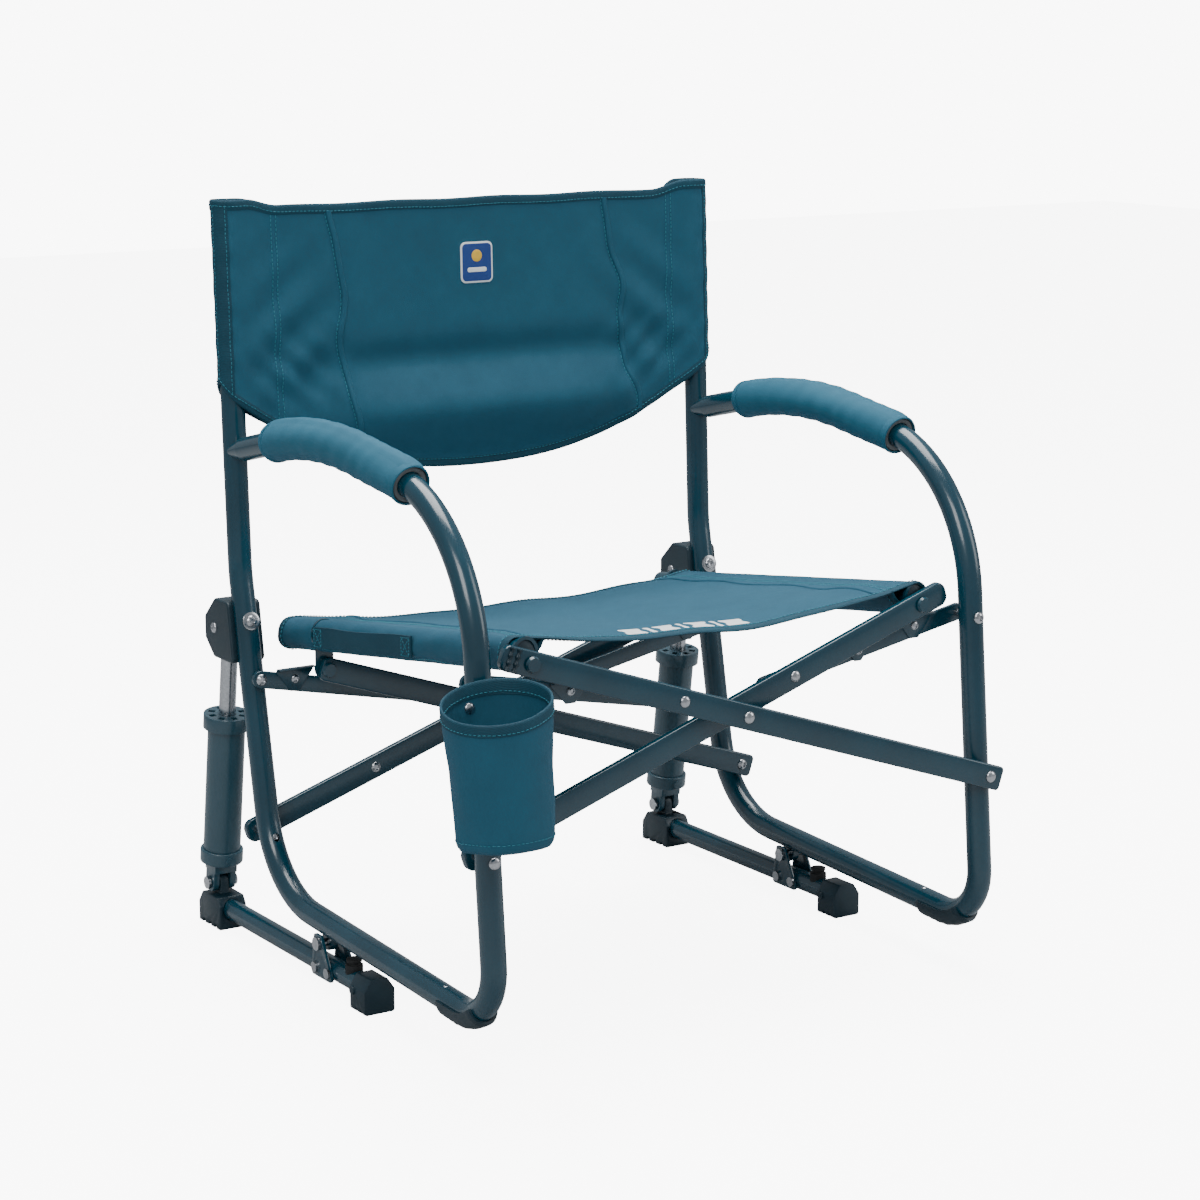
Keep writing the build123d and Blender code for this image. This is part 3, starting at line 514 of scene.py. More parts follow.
# Metal frame.
for node in frame["nodes"]:
    kind = node.replace("left_", "").replace("right_", "")
    if kind in ("side_tube", "pivot_lug", "foot_tube", "seat_rail", "rail_brackets"):
        dress(node, paint)
    elif kind in ("foot_bolts", "rod"):
        dress(node, zinc)
    elif kind == "post_cap":
        dress(node, plastic)
    elif kind == "cylinder":
        dress(node, shockPaint)

eased = {
    "shock_bracket": (plastic, 0.0012), "front_cap": (plastic, 0.0012), "rear_foot": (plastic, 0.0014),
    "pivot_plates": (paint, 0.0008), "bumper": (rubber, 0.0008), "swivel": (shockPaint, 0.001),
    "top_collar": (shockPaint, 0.0008), "rail_plugs": (plastic, 0.0012),
}
for side in ("left_", "right_"):
    for node, (material, width) in eased.items():
        softened(side + node, material, width)


def bends(corners, step=4.0):
    # corners (y, z, radius), the ends without one, give a run of points with round bends
    out = [Vector(corners[0][:2])]
    for (a, b, c) in zip(corners, corners[1:], corners[2:]):
        p, q, s = Vector(a[:2]), Vector(b[:2]), Vector(c[:2])
        d0, d1 = (q - p).normalized(), (s - q).normalized()
        turn = d0.angle(d1)
        cut = b[2] * math.tan(turn / 2)
        start, way = q - d0 * cut, 1 if d0.x * d1.y - d0.y * d1.x > 0 else -1
        centre = start + Vector((-d0.y, d0.x)) * (way * b[2])
        n = max(2, int(b[2] * turn / step))
        for k in range(n + 1):
            out.append(centre + (Matrix.Rotation(way * turn * k / n, 2) @ (start - centre)))
    out.append(Vector(corners[-1][:2]))
    return out


def fineRun(run, step=3.0):
    fine = []
    for a, b in zip(run, run[1:]):
        n = max(1, int((b - a).length / step))
        fine += [a.lerp(b, k / n) for k in range(n)]
    return fine + [run[-1]]


guard = {"from": -182.0, "highest": 66.0, "outer": 15.8, "inner": 12.9, "open": 97.0}
footRun = [p for p in fineRun(bends([(176.0, 70.0), (-272.0, 51.0, 52.0), (-254.8, 240.0)], step=3.0))
    if p.x < guard["from"] and p.y < guard["highest"]]
for side, s in (("left", -1), ("right", 1)):
    def trough(t):
        ribs = 0.7 * max(0.0, math.sin(t * 44)) * bump(t, 0.55, 0.3)
        ends = min(1.0, t / 0.06, (1 - t) / 0.05)
        lip = 1.3 * bump(t, 1.0, 0.08)
        angles = [math.radians(-90 + guard["open"] * (k / 12 * 2 - 1)) for k in range(13)]
        swell = [ribs * max(0, math.cos(a + math.pi / 2)) for a in angles]
        outer = [(guard["outer"] + lip + more) * (0.9 + 0.1 * ends) for more in swell]
        shape = [(r / 1000, a) for r, a in zip(outer, angles)]
        shape += [(guard["inner"] / 1000, a) for a in reversed(angles)]
        return [(r * math.cos(a), r * math.sin(a)) for r, a in shape]
    shell = tube(side + "GuardShell", [at(s * chair["track"], p.x, p.y) for p in footRun], trough, plastic,
        side + "_frame", sharp=45)
    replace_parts(shell, side + "_foot_guard")

bars = {
    "height": 25.0, "thick": 8.0, "low": 14.0, "tip": 32.0, "rearTip": 7.0,
    "axis": {"a": (-1, "front"), "b": (1, "front"), "c": (1, "rear"), "d": (-1, "rear")},
}


def flatBar(name, start, end, across, height, thick, material, body, corner=(4.0, 4.0), edge=1.8):
    # a flattened tube swept from start to end, each end's corners rounded in side view
    length = (end - start).length
    d = (end - start).normalized()
    across = (across - d * across.dot(d)).normalized()
    out = d.cross(across)
    h, t, e = height / 2000, thick / 2000, edge / 1000
    stations = []
    for which, r in enumerate(corner):
        r = r / 1000
        part = [(r * (1 - math.cos(k / 6 * math.pi / 2)), h - r + r * math.sin(k / 6 * math.pi / 2))
            for k in range(7)]
        stations += part if which == 0 else [(length - s, f) for s, f in reversed(part)]
    verts = []
    for n, (s, hh) in enumerate(stations):
        shrink = 0.0006 if n in (0, len(stations) - 1) else 0.0
        tt, ee = t - shrink, min(e, hh * 0.6, t * 0.9)
        ring = []
        for cx, cy, a0 in ((1, 1, 0), (-1, 1, 90), (-1, -1, 180), (1, -1, 270)):
            for k in range(4):
                a = math.radians(a0 + 30 * k)
                ring.append((cx * (hh - ee) + ee * math.cos(a), cy * (tt - ee) + ee * math.sin(a)))
        verts += [start + d * s + across * a + out * b for a, b in ring]
    return piece(name, verts, ringFaces(len(stations), 16), material, body, sharp=32)


sinBar, cosBar = math.sin(math.radians(chair["barDeg"])), math.cos(math.radians(chair["barDeg"]))
tan = sinBar / cosBar
lowPin = {"a": 210.0, "b": 210.0, "c": 128.0, "d": 128.0}
endCorner = {"a": (3.0, 8.0), "b": (9.0, 9.0), "c": (9.0, 5.0), "d": (4.0, 6.0)}
barRun = {}


def barSpot(letter, s, lift=0.0):
    # a point on the bar's middle line, s millimetres from its low end, lifted across it
    w, startY, yaw, _ = barRun[letter]
    x = -w * (chair["track"] + bars["low"] * cosBar) + w * s * cosBar - w * sinBar * lift
    return at(x, startY + yaw * s, lowPin[letter] + (s - bars["low"]) * sinBar + cosBar * lift)


def barAt(letter, x, lift=0.0):
    w = barRun[letter][0]
    return barSpot(letter, (w * x + chair["track"]) / cosBar + bars["low"], lift)


for letter, (w, end) in bars["axis"].items():
    low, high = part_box("bar_" + letter)
    front, rear = low.y * 1000 - originY * 1000, high.y * 1000 - originY * 1000
    tip = bars["tip"] if end == "front" else bars["rearTip"]
    total = (chair["track"] + chair["railX"]) / cosBar + bars["low"] + tip
    yaw = max(0.0, rear - front - bars["thick"]) / total
    barRun[letter] = (w, (front + rear) / 2 - yaw * total / 2, yaw, total)
    up = Vector((-w * sinBar, 0, cosBar))
    bar = flatBar("bar_" + letter + "_shape", barSpot(letter, 0), barSpot(letter, total), up,
                  bars["height"], bars["thick"], paint, "bar_" + letter, corner=endCorner[letter])
    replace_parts(bar, "bar_" + letter)

links = {"height": 18.0, "thick": 5.0, "inX": 50.0, "front": 370.0, "rear": 291.0}
for end in ("front", "rear"):
    for side, s in (("left", -1), ("right", 1)):
        node = f"{end}_{side}_link"
        low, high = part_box(node)
        y = ((low.y + high.y) / 2 - originY) * 1000
        innerZ = (210.0 if end == "front" else 128.0) + (chair["track"] + links["inX"]) * tan
        a, b = Vector((s * chair["track"], links[end])), Vector((s * links["inX"], innerZ))
        way = (b - a).normalized() * links["height"] / 2
        a, b = a - way, b + way
        link = flatBar(node + "_shape", at(a.x, y, a.y), at(b.x, y, b.y), Vector((0, 0, 1)),
            links["height"], links["thick"], paint, node, corner=(8.0, 8.0), edge=1.2)
        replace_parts(link, node)


def gusset(name, link, x, z, wide, tall, plate=1.6, flangeDeep=7.0, point=0.12):
    # a small folded plate on a link: a flat top and a blunt point, with a bolt in the middle
    y = (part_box(link)[0].y - originY) * 1000 - 1.4
    half, top = wide / 2, tall / 2
    outline = [(-half, top), (half, top), (half, top - 3), (wide * point, -top), (-wide * point, -top),
        (-half, top - 3)]
    verts = []
    for dy, grow in ((1.2, 1.0), (0.0, 1.0), (1.2 - plate, 0.93)):
        verts += [at(x + a * grow, y + dy, z + b * grow) for a, b in outline]
    piece(name, verts, ringFaces(3, len(outline)), paint, link, sharp=30)
    section = [(0.0, 0.0), (0.0, 0.0014), (-flangeDeep / 1000, 0.0014), (-flangeDeep / 1000, 0.0)]
    tube(name + "Flange", [at(x - half, y, z + top), at(x + half, y, z + top)], lambda t: section, paint,
        link, hint=Vector((0, 1, 0)))
    rivet(name + "Bolt", at(x, y - 0.4, z + 1), (0, -1, 0), link, r=4.6, dome=2.0, socket=True)


gussets = {
    "frontRightOuterGusset": ("front_right_link", 234.0, 362.0, 44.0, 24.0),
    "frontRightInnerGusset": ("front_right_link", 163.0, 345.0, 34.0, 20.0),
    "frontLeftGusset": ("front_left_link", -181.5, 349.0, 44.0, 22.0),
    "rearLeftGusset": ("rear_left_link", -252.0, 287.0, 42.0, 24.0),
    "rearRightGusset": ("rear_right_link", 240.0, 284.0, 42.0, 24.0),
}
for name, (link, x, z, wide, tall) in gussets.items():
    gusset(name, link, x, z, wide, tall)
print("metal frame dressed")

# Fasteners.
def pinAt(name, x, z, front, rear, body, head=6.2, dome=3.0, shank=4.0, recessed=False):
    # a rivet along Y with a domed head at each end; front and rear are the faces it clamps
    steps = 6
    front, rear = front / 1000, rear / 1000
    h, d, s = head / 1000, dome / 1000, shank / 1000
    cap = [(h * math.cos(k / steps * math.pi / 2), d * math.sin(k / steps * math.pi / 2))
        for k in range(steps)]
    face, rim = [(front - d, 0.0)], [(front - up, r) for r, up in reversed(cap)]
    if recessed:
        face = [(front - d * 0.35, 0.0), (front - d * 0.35, h * 0.42), (front - d, h * 0.5)]
        rim = [p for p in rim if p[1] > h * 0.55]
    profile = face + rim + [(front + 0.0004, h), (front + 0.0004, s)]
    profile += [(rear - 0.0004, s), (rear - 0.0004, h)]
    profile += [(rear + up, r) for r, up in cap] + [(rear + d, 0.0)]
    centre = at(x, 0, z)
    return lathe(name, Vector((centre.x, originY, centre.z)), (0, 1, 0), profile, zinc, body, around=28,
        sharp=32)


def spacer(name, start, length, body, r=6.8, bore=4.2):
    # a plain sleeve along Y that holds two pieces apart
    profile = [(0.0, bore / 1000), (0.0, r / 1000), (length, r / 1000), (length, bore / 1000)]
    return lathe(name, start, (0, 1, 0), profile, zinc, body)


def faceY(obj):
    low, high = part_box(obj)
    return (low.y - originY) * 1000, (high.y - originY) * 1000


tubeR = chair["tubeR"]
for side, s in (("left", -1), ("right", 1)):
    body, x = side + "_frame", s * chair["track"]
    frontBar, rearBar = ("b", "c") if side == "left" else ("a", "d")
    pins = []
    for tag, letter, z, tubeY in (("LowFront", frontBar, 210.0, legY(210.0)),
            ("LowRear", rearBar, 128.0, postY(128.0) + 1.0)):
        y = (barAt(letter, -barRun[letter][0] * chair["track"]).y - originY) * 1000
        ends = sorted((tubeY + (tubeR + 0.2) * (-1 if y > tubeY else 1),
            y + bars["thick"] / 2 * (1 if y > tubeY else -1)))
        pins.append(pinAt(side + tag + "Rivet", x, z, *ends, body, recessed=letter in "cd"))
        gapLow, gapHigh = sorted((tubeY + (tubeR - 0.5) * (1 if y > tubeY else -1),
            y - bars["thick"] / 2 * (1 if y > tubeY else -1)))
        if gapHigh - gapLow > 4:
            spacer(side + tag + "Spacer", at(x, gapLow, z), (gapHigh - gapLow) / 1000, body, r=6.4)
    for tag, end, z, tubeY in (("FrontLink", "front", 370.0, legY(370.0)),
            ("RearLink", "rear", 291.0, postY(291.0))):
        low, high = faceY(f"{end}_{side}_link")
        ends = (tubeY - tubeR - 0.2, high) if end == "front" else (low, tubeY + tubeR + 0.2)
        pins.append(pinAt(side + tag + "Rivet", x, z, *ends, body, recessed=True))
    tiltDir = Vector((0, -(chair["postDimple"][1] - chair["postLow"][1]),
        chair["postDimple"][0] - chair["postLow"][0])).normalized()
    washer = at(x, postY(347), 347) + tiltDir * (tubeR / 1000)
    rivet(side + "BracketWasherBolt", washer, tiltDir, body, r=6.0, dome=2.6, washer=9.6, socket=True)
    for way in (-1, 1):
        rivet(f"{side}BracketBolt{'In' if way * s < 0 else 'Out'}", at(x + way * 19.0, 267, 336),
            (way, 0, 0), body, r=5.6, dome=2.4, socket=True)
    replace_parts(pins[0], side + "_frame_pins")
    rivet(side + "GuardScrew", at(x, -179, 65.5), (0, 0.12, 1), body, r=4.2, dome=1.8, socket=True)

half = bars["thick"] / 2
for tag, near, far, recessed in (("front", "a", "b", False), ("rear", "d", "c", True)):
    p, q, body = barAt(near, 0), barAt(far, 0), "bar_" + far
    ends = (p.y - originY) * 1000 - half, (q.y - originY) * 1000 + half
    cross = pinAt(tag + "CrossRivet", 0, p.z * 1000, *ends, body, recessed=recessed)
    gap = q.y - p.y - bars["thick"] / 1000
    spacer(tag + "CrossSpacer", p + Vector((0, half / 1000, 0)), gap, body)
    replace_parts(cross, tag + "_cross_pin")
for letter, x, recessed in (("a", -72.0, False), ("b", 76.0, False), ("d", -61.0, True),
        ("c", -150.0, True)):
    p = barAt(letter, x)
    y = (p.y - originY) * 1000
    pinAt(f"bar{letter.upper()}Rivet", x, p.z * 1000, y - half, y + half, "bar_" + letter, head=5.8,
        dome=2.6, recessed=recessed)
# ribbed plastic insert at the top end of bar A
for k, s in enumerate((barRun["a"][3] - 7.0, barRun["a"][3] - 15.0)):
    p, q = barSpot("a", s, -10.5), barSpot("a", s, 10.5)
    front = Vector((0, -half / 1000, 0))
    points = [p.lerp(q, n / 24) + front for n in range(25)]
    tube(f"barAEndRib{k}", points, lambda t: circle(0.0021 + 0.0006 * math.cos(t * 6 * math.pi), n=10),
        plastic, "bar_a")
print("fasteners made")

# Back sling.
back = {"half": 304.0, "top": 773.0, "overPost": 8.5, "sideLow": 584.0, "midLow": 487.0,
        "postX": 290.0, "wrap": 14.0, "joinLeft": -238.0, "joinRight": 252.0, "thick": 0.0015, "rows": 84}


def backLow(x):
    share = min(abs(x) / back["half"], 1.0)
    past = min(1.0, max(0.0, (abs(x) - 290) / 14))  # the outer corners are rounded off
    corner = 13 * (1 - math.sqrt(1 - past * past))
    return back["midLow"] + (back["sideLow"] - back["midLow"]) * share ** 2.3 + corner


def backTop(x):
    # the cloth rises a little over the post tops
    rise = min(1.0, max(0.0, (abs(x) - 232) / 40))
    return back["top"] + back["overPost"] * rise * rise * (3 - 2 * rise)


def backDepth(x, z):
    # how far the cloth stands off the plane through the post centres, towards the back
    inner = min(1.0, max(0.0, (back["postX"] - abs(x)) / 52))
    ease = inner * inner * (3 - 2 * inner)
    depth = mix(-back["wrap"], -5.0, ease)
    middle = 1 / (1 + (abs(x - 12) / 172) ** 7)
    low = backLow(x)
    depth += middle * (8.0 * bump(z, 606, 17) - 17.0 * bump(z, 552, 30) + 5.0 * bump(z, low + 6, 16))
    depth += 4.0 * bump(x, 5, 190) * bump(z, 690, 90)
    for side in (-1, 1):
        near = bump(x, side * 222, 52)
        depth += near * 2.6 * math.sin((z + side * x * 0.75) * 0.105 + side) * bump(z, 640, 75)
        depth += near * 1.6 * math.sin((z - side * x * 0.9) * 0.17 + 1.7) * bump(z, 600, 40)
        depth += (2.4 * bump(x, side * 205 - 4, 30) * math.sin((z * 0.4 + side * x) * 0.12)
                  * bump(z, 560, 55))
    return depth + wrinkle(x, z, 0.55, 0.021, 2.0) * inner + wrinkle(x, z, 0.25, 0.06, 5.0) * inner


def backPath():
    # the cut's run across: from the left join, round the left post, over the front, round the right post
    r, px = back["wrap"], back["postX"]
    run = []
    for side in (-1, 1):
        join = back["joinLeft"] if side < 0 else back["joinRight"]
        behind = [("flap", side * mix(abs(join), px, k / 10), mix(-2.0, r, math.sin(k / 10 * math.pi / 2)))
                  for k in range(10)]
        around = [("turn", side * (px + r * math.sin(a)), r * math.cos(a))
                  for a in (k / 12 * math.pi for k in range(13))]
        part = behind + around
        run.append(part if side < 0 else part[::-1])
    front = [("front", mix(-px, px, k / 120), 0.0) for k in range(1, 120)]
    return run[0] + front + run[1]


def makeBack():
    path = backPath()
    rows = back["rows"]
    net = np.zeros((rows, len(path), 3))
    for j in range(rows):
        v = j / (rows - 1)
        for i, (kind, x, off) in enumerate(path):
            z = mix(backLow(x), backTop(x), v) + (0.6 * math.sin(x * 0.05) if v > 0.97 else 0.0)
            depth = backDepth(x, z) if kind == "front" else off
            if kind == "turn":
                depth += 0.5 * math.sin(z * 0.11 + off) + 0.35 * math.sin(z * 0.23)
            if kind == "flap":
                depth += 0.6 * math.sin(z * 0.09 + x * 0.1) * min(1.0, (abs(x) - 236) / 30)
            net[j, i] = at(x, postY(z) + depth, z)
    grid = Grid(net)
    cloth = clothFromGrid("backCloth", grid, back["thick"], canvas)
    xs = [x for _, x, _ in path]
    first = next(i for i, p in enumerate(path) if p[0] == "front")

    def u(x):
        i = np.interp(x, xs[first:first + 119], range(first, first + 119))
        return float(i) / (len(path) - 1)

    # the cloth's front faces -Y; lift is along the net's normal
    sign = -1 if grid.n[rows // 2, first + 60][1] > 0 else 1
    trims = boundEdges(grid, sign, {"backTopBinding": 1.0, "backLowBinding": 0.0}, ("Front", "Back"),
        knots=170, inset=0.026)
    for name, topX, lowX, phase in (("leftSeam", -168, -153, 0.2), ("rightSeam", 172, 203, 1.1)):
        knots = []
        for k in range(61):
            t = k / 60
            x = mix(lowX, topX, t) + 4.5 * math.sin(t * 11.0 + phase) + 1.6 * math.sin(t * 23)
            knots.append((u(x), 0.02 + 0.955 * t))
        line = [grid.spot(a, b, sign * 0.0011) for a, b in knots]
        trims.append(tube(name, [p for p, _ in line], lambda t: circle(0.0034, 8, 0.0021), canvas))
        spots = [grid.spot(a - 0.0055, b, sign * 0.0009) for a, b in knots]
        trims.append(stitchRow(name + "Inner", [(p, n * sign) for p, n in spots]))
    for name, x in (("leftPocketSeam", back["joinLeft"]), ("rightPocketSeam", back["joinRight"])):
        for shift, tag in ((-3.0, "A"), (3.0, "B")):
            spots = [grid.spot(u(x + shift), 0.02 + 0.96 * k / 40, sign * 0.0009) for k in range(41)]
            trims.append(stitchRow(name + tag, [(p, n * sign) for p, n in spots]))
    # a folded band down each outer edge
    turnAt = [i for i, p in enumerate(path) if p[0] == "turn"]
    for side, picks in (("left", turnAt[:13]), ("right", turnAt[13:])):
        a, b = (picks[6], picks[11]) if side == "left" else (picks[6], picks[1])
        verts, rings = [], 64
        for k in range(rings):
            v = 0.012 + 0.976 * k / (rings - 1)
            ring = [(q / 5, 1.5) for q in range(6)] + [(1.02, 0.2), (-0.02, 0.2)]
            for share, lift in ring:
                p, n = grid.spot(mix(a, b, share) / (len(path) - 1), v)
                verts.append(p + n * (sign * lift / 1000))
        trims.append(piece(side + "BackEdgeBand", verts, ringFaces(rings, 8), webbing, sharp=50))
        for tag, share in (("A", 0.14), ("B", 0.86)):
            spots = [grid.spot(mix(a, b, share) / (len(path) - 1), 0.02 + 0.96 * k / 60) for k in range(61)]
            trims.append(stitchRow(side + "BackEdge" + tag, [(p + n * (sign * 0.0014), n * sign)
                for p, n in spots]))
    # patch in the middle of the back
    patch = {"x": 5.0, "z": 704.0, "wide": 40.0, "tall": 44.0, "round": 6.0}
    trims += makePatch(grid, u, sign, patch)
    return cloth, trims


def roundedOutline(wide, tall, r, n=6):
    out = []
    for cx, cz, a0 in ((1, 1, 0), (-1, 1, 90), (-1, -1, 180), (1, -1, 270)):
        for k in range(n + 1):
            a = math.radians(a0 + 90 * k / n)
            out.append((cx * (wide / 2 - r) + r * math.cos(a), cz * (tall / 2 - r) + r * math.sin(a)))
    return out


def plateOn(name, grid, toUV, outline, lift, thick, sign, material):
    # a flat trim that follows the cloth: outline in millimetres, through toUV
    middle = (sum(a for a, _ in outline) / len(outline), sum(b for _, b in outline) / len(outline))
    verts, n = [], len(outline)
    for share, up in ((1.0, 0.0), (1.0, thick * 0.6), (0.97, thick), (0.6, thick), (0.25, thick)):
        for a, b in outline:
            p, nrm = grid.spot(*toUV(mix(middle[0], a, share), mix(middle[1], b, share)))
            verts.append(p + nrm * (sign * (lift + up) / 1000))
    return piece(name, verts, ringFaces(5, n, caps=True), material, sharp=50)


def makePatch(grid, u, sign, patch):
    def toUV(x, z):
        return u(x), (z - backLow(x)) / (backTop(x) - backLow(x))
    x, z = patch["x"], patch["z"]
    outer = [(x + a, z + b) for a, b in roundedOutline(patch["wide"], patch["tall"], patch["round"])]
    inner = [(x + a, z + b)
             for a, b in roundedOutline(patch["wide"] - 4, patch["tall"] - 4, patch["round"] - 1.5)]
    bar = [(x + a, z - 8 + b) for a, b in roundedOutline(24, 5, 2.2)]
    disc = [(x + 6.5 * math.cos(math.radians(k * 15)), z + 7 + 6.5 * math.sin(math.radians(k * 15)))
        for k in range(24)]
    made = [plateOn("patchEdge", grid, toUV, outer, 0.7, 0.9, sign, printWhite),
            plateOn("patchField", grid, toUV, inner, 1.5, 0.35, sign, patchBlue),
            plateOn("patchDot", grid, toUV, disc, 1.8, 0.3, sign, patchYellow),
            plateOn("patchBar", grid, toUV, bar, 1.8, 0.3, sign, printWhite)]
    return made


backCloth, backTrims = makeBack()
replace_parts(backCloth, "back_cloth", "left_back_pocket", "right_back_pocket")
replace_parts(backTrims[-4], "badge")
backAnchor = at(-290, postY(680), 680)
for obj in (backCloth, *backTrims):
    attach(obj, "left_frame")
    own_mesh(obj)
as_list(backTrims)
print("back sling made")

# Seat sling.
seat = {"front": -222.0, "back": 196.0, "rise": 15.2, "side": 13.6, "join": 30.0, "sag": 14.0,
        "sleeveOn": 40.0, "thick": 0.0015, "rows": 90}


def seatPath():
    rx, rz, low = seat["side"], seat["rise"], -17.0
    run = []
    for side in (-1, 1):
        part = [("flap", side, side * mix(chair["railX"] - seat["join"], chair["railX"] - 6, k / 8),
            mix(rz - 5.5, low, (k / 8) ** 0.7)) for k in range(8)]
        for a in (k / 14 * math.pi for k in range(15)):
            under = 1.8 if math.cos(a) > 0 else 0  # the flap side lies a little lower
            part.append(("turn", side, side * (chair["railX"] + rx * math.sin(a)),
                -rz * math.cos(a) - under))
        run.append(part if side < 0 else part[::-1])
    front = [("front", 0, mix(-chair["railX"], chair["railX"], k / 110), 0.0) for k in range(1, 110)]
    return run[0] + front + run[1]


def seatDrop(x, t):
    # t runs from the front edge to the rear edge
    share = abs(x) / chair["railX"]
    shape = 1 - share ** 2.1
    amount = seat["sag"] * (1.0 + 0.05 * bump(t, 0, 0.16) - 0.15 * t)
    soft = 1.6 * math.sin(x * 0.024 + t * 5.0) * shape + 1.0 * math.sin(x * 0.05 - t * 9.0) * shape
    corner = sum(2.2 * bump(x, side * 195, 26) * math.sin(t * 26 + side)
                 * (bump(t, 0.02, 0.2) + bump(t, 0.98, 0.15)) for side in (-1, 1))
    near = max(0.0, 1 - t / 0.14)
    return amount * shape + soft + corner + 8.0 * near * near * shape


def seatBack(x):
    # the left sleeve runs on past the rail's rear end
    past = min(1.0, max(0.0, (-x - 212) / 14))
    return seat["back"] + seat["sleeveOn"] * past * past * (3 - 2 * past)


def makeSeat():
    path = seatPath()
    rows = seat["rows"]
    net = np.zeros((rows, len(path), 3))
    for j in range(rows):
        t = j / (rows - 1)
        for i, (kind, side, x, off) in enumerate(path):
            bow = 5.0 * (1 - (abs(x) / 250) ** 2)  # both edges bow in a little between the rails
            y = mix(seat["front"] + bow, seatBack(x) - bow, t)
            z = railZ(y)
            if kind == "front":
                z += seat["rise"] - seatDrop(x, t)
                push = 0.0
            else:
                z += off
                push = 0.5 * math.sin(y * 0.07 + off * 0.2) + 0.35 * math.sin(y * 0.19)
            net[j, i] = at(x + (push if x > 0 else -push), y, z)
    grid = Grid(net)
    cloth = clothFromGrid("seatCloth", grid, seat["thick"], canvas)
    xs = [p[2] for p in path]
    first = next(i for i, p in enumerate(path) if p[0] == "front")

    def u(x):
        return float(np.interp(x, xs[first:first + 109], range(first, first + 109))) / (len(path) - 1)

    sign = 1 if grid.n[rows // 2, first + 55][2] > 0 else -1
    trims = boundEdges(grid, sign, {"seatFrontBinding": 0.0, "seatRearBinding": 1.0}, ("Top", "Under"),
        knots=150, inset=0.019)
    for side in (-1, 1):
        tag = "left" if side < 0 else "right"
        for k, x in enumerate((206.0, 212.0)):
            line = [(u(side * (x + 1.3 * math.sin(q * 0.5))), 0.02 + 0.96 * q / 60) for q in range(61)]
            spots = [grid.spot(a, b, sign * 0.0009) for a, b in line]
            trims.append(stitchRow(f"{tag}SleeveStitches{k}", [(p, n * sign) for p, n in spots]))
        # the band's lower edge runs along the outside of the rail in soft waves
        band = [i for i, p in enumerate(path) if p[0] == "turn" and p[1] == side]
        low = band[len(band) // 2 - 4] if side < 0 else band[len(band) // 2 + 4]
        share = low / (len(path) - 1)
        line = [(share + 0.004 * math.sin(q * 0.42), 0.02 + 0.96 * q / 60) for q in range(61)]
        spots = [grid.spot(a, b, sign * 0.0009) for a, b in line]
        trims.append(stitchRow(f"{tag}BandStitches", [(p, n * sign) for p, n in spots]))
    endY = seat["back"] + seat["sleeveOn"] - 6
    trims.append(lathe("leftSleeveEnd", at(-chair["railX"], endY, railZ(endY) - 1), (0, 1, 0),
        [(0.0, 0.0), (-0.002, 0.0136), (0.004, 0.0136), (0.0075, 0.0118), (0.0095, 0.0075),
        (0.0102, 0.0)], canvas, around=32, sharp=60))
    # inner seams of the two sleeves
    for side in (-1, 1):
        line = [(u(side * (190 + 4 * math.sin(q * 0.31 + side) + 8 * q / 60)), 0.02 + 0.96 * q / 60)
            for q in range(61)]
        spots = [grid.spot(a, b, sign * 0.0009) for a, b in line]
        trims.append(tube(("left" if side < 0 else "right") + "SeatLip", [p for p, _ in spots],
            lambda t: circle(0.0026, 8, 0.0015), canvas))
    # the printed strip by the front edge
    strip = {"fromEdge": 25.0, "tall": 21.0,
             "bars": [(-100, -76), (-71, -65), (-60, -38), (-33, -28), (-23, 2), (7, 13), (18, 44)]}
    length = seat["back"] - seat["front"]

    def toUV(x, y):
        return u(x), y / length
    for k, (a, b) in enumerate(strip["bars"]):
        outline = [((a + b) / 2 + p, strip["fromEdge"] + q)
            for p, q in roundedOutline(b - a, strip["tall"], 1.6, n=3)]
        trims.append(plateOn(f"stripBar{k}", grid, toUV, outline, 0.72, 0.12, sign, printWhite))
    return cloth, trims


seatCloth, seatTrims = makeSeat()
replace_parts(seatCloth, "seat_cloth", "left_seat_sleeve", "right_seat_sleeve")
seatAnchor = at(-236, 0, railZ(0))
for obj in (seatCloth, *seatTrims):
    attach(obj, "left_rail")
    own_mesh(obj)
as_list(seatTrims)
print("seat sling made")


# Arm pads.
armRun = bends([(-254.8, 240.0), (-229.0, 527.0, 165.0), (60.0, 566.0, 500.0), (244.5, 524.0)])
pad = {"left": (-124.0, 152.0), "right": (-124.0, 150.0), "outer": 20.6, "foam": 18.6}


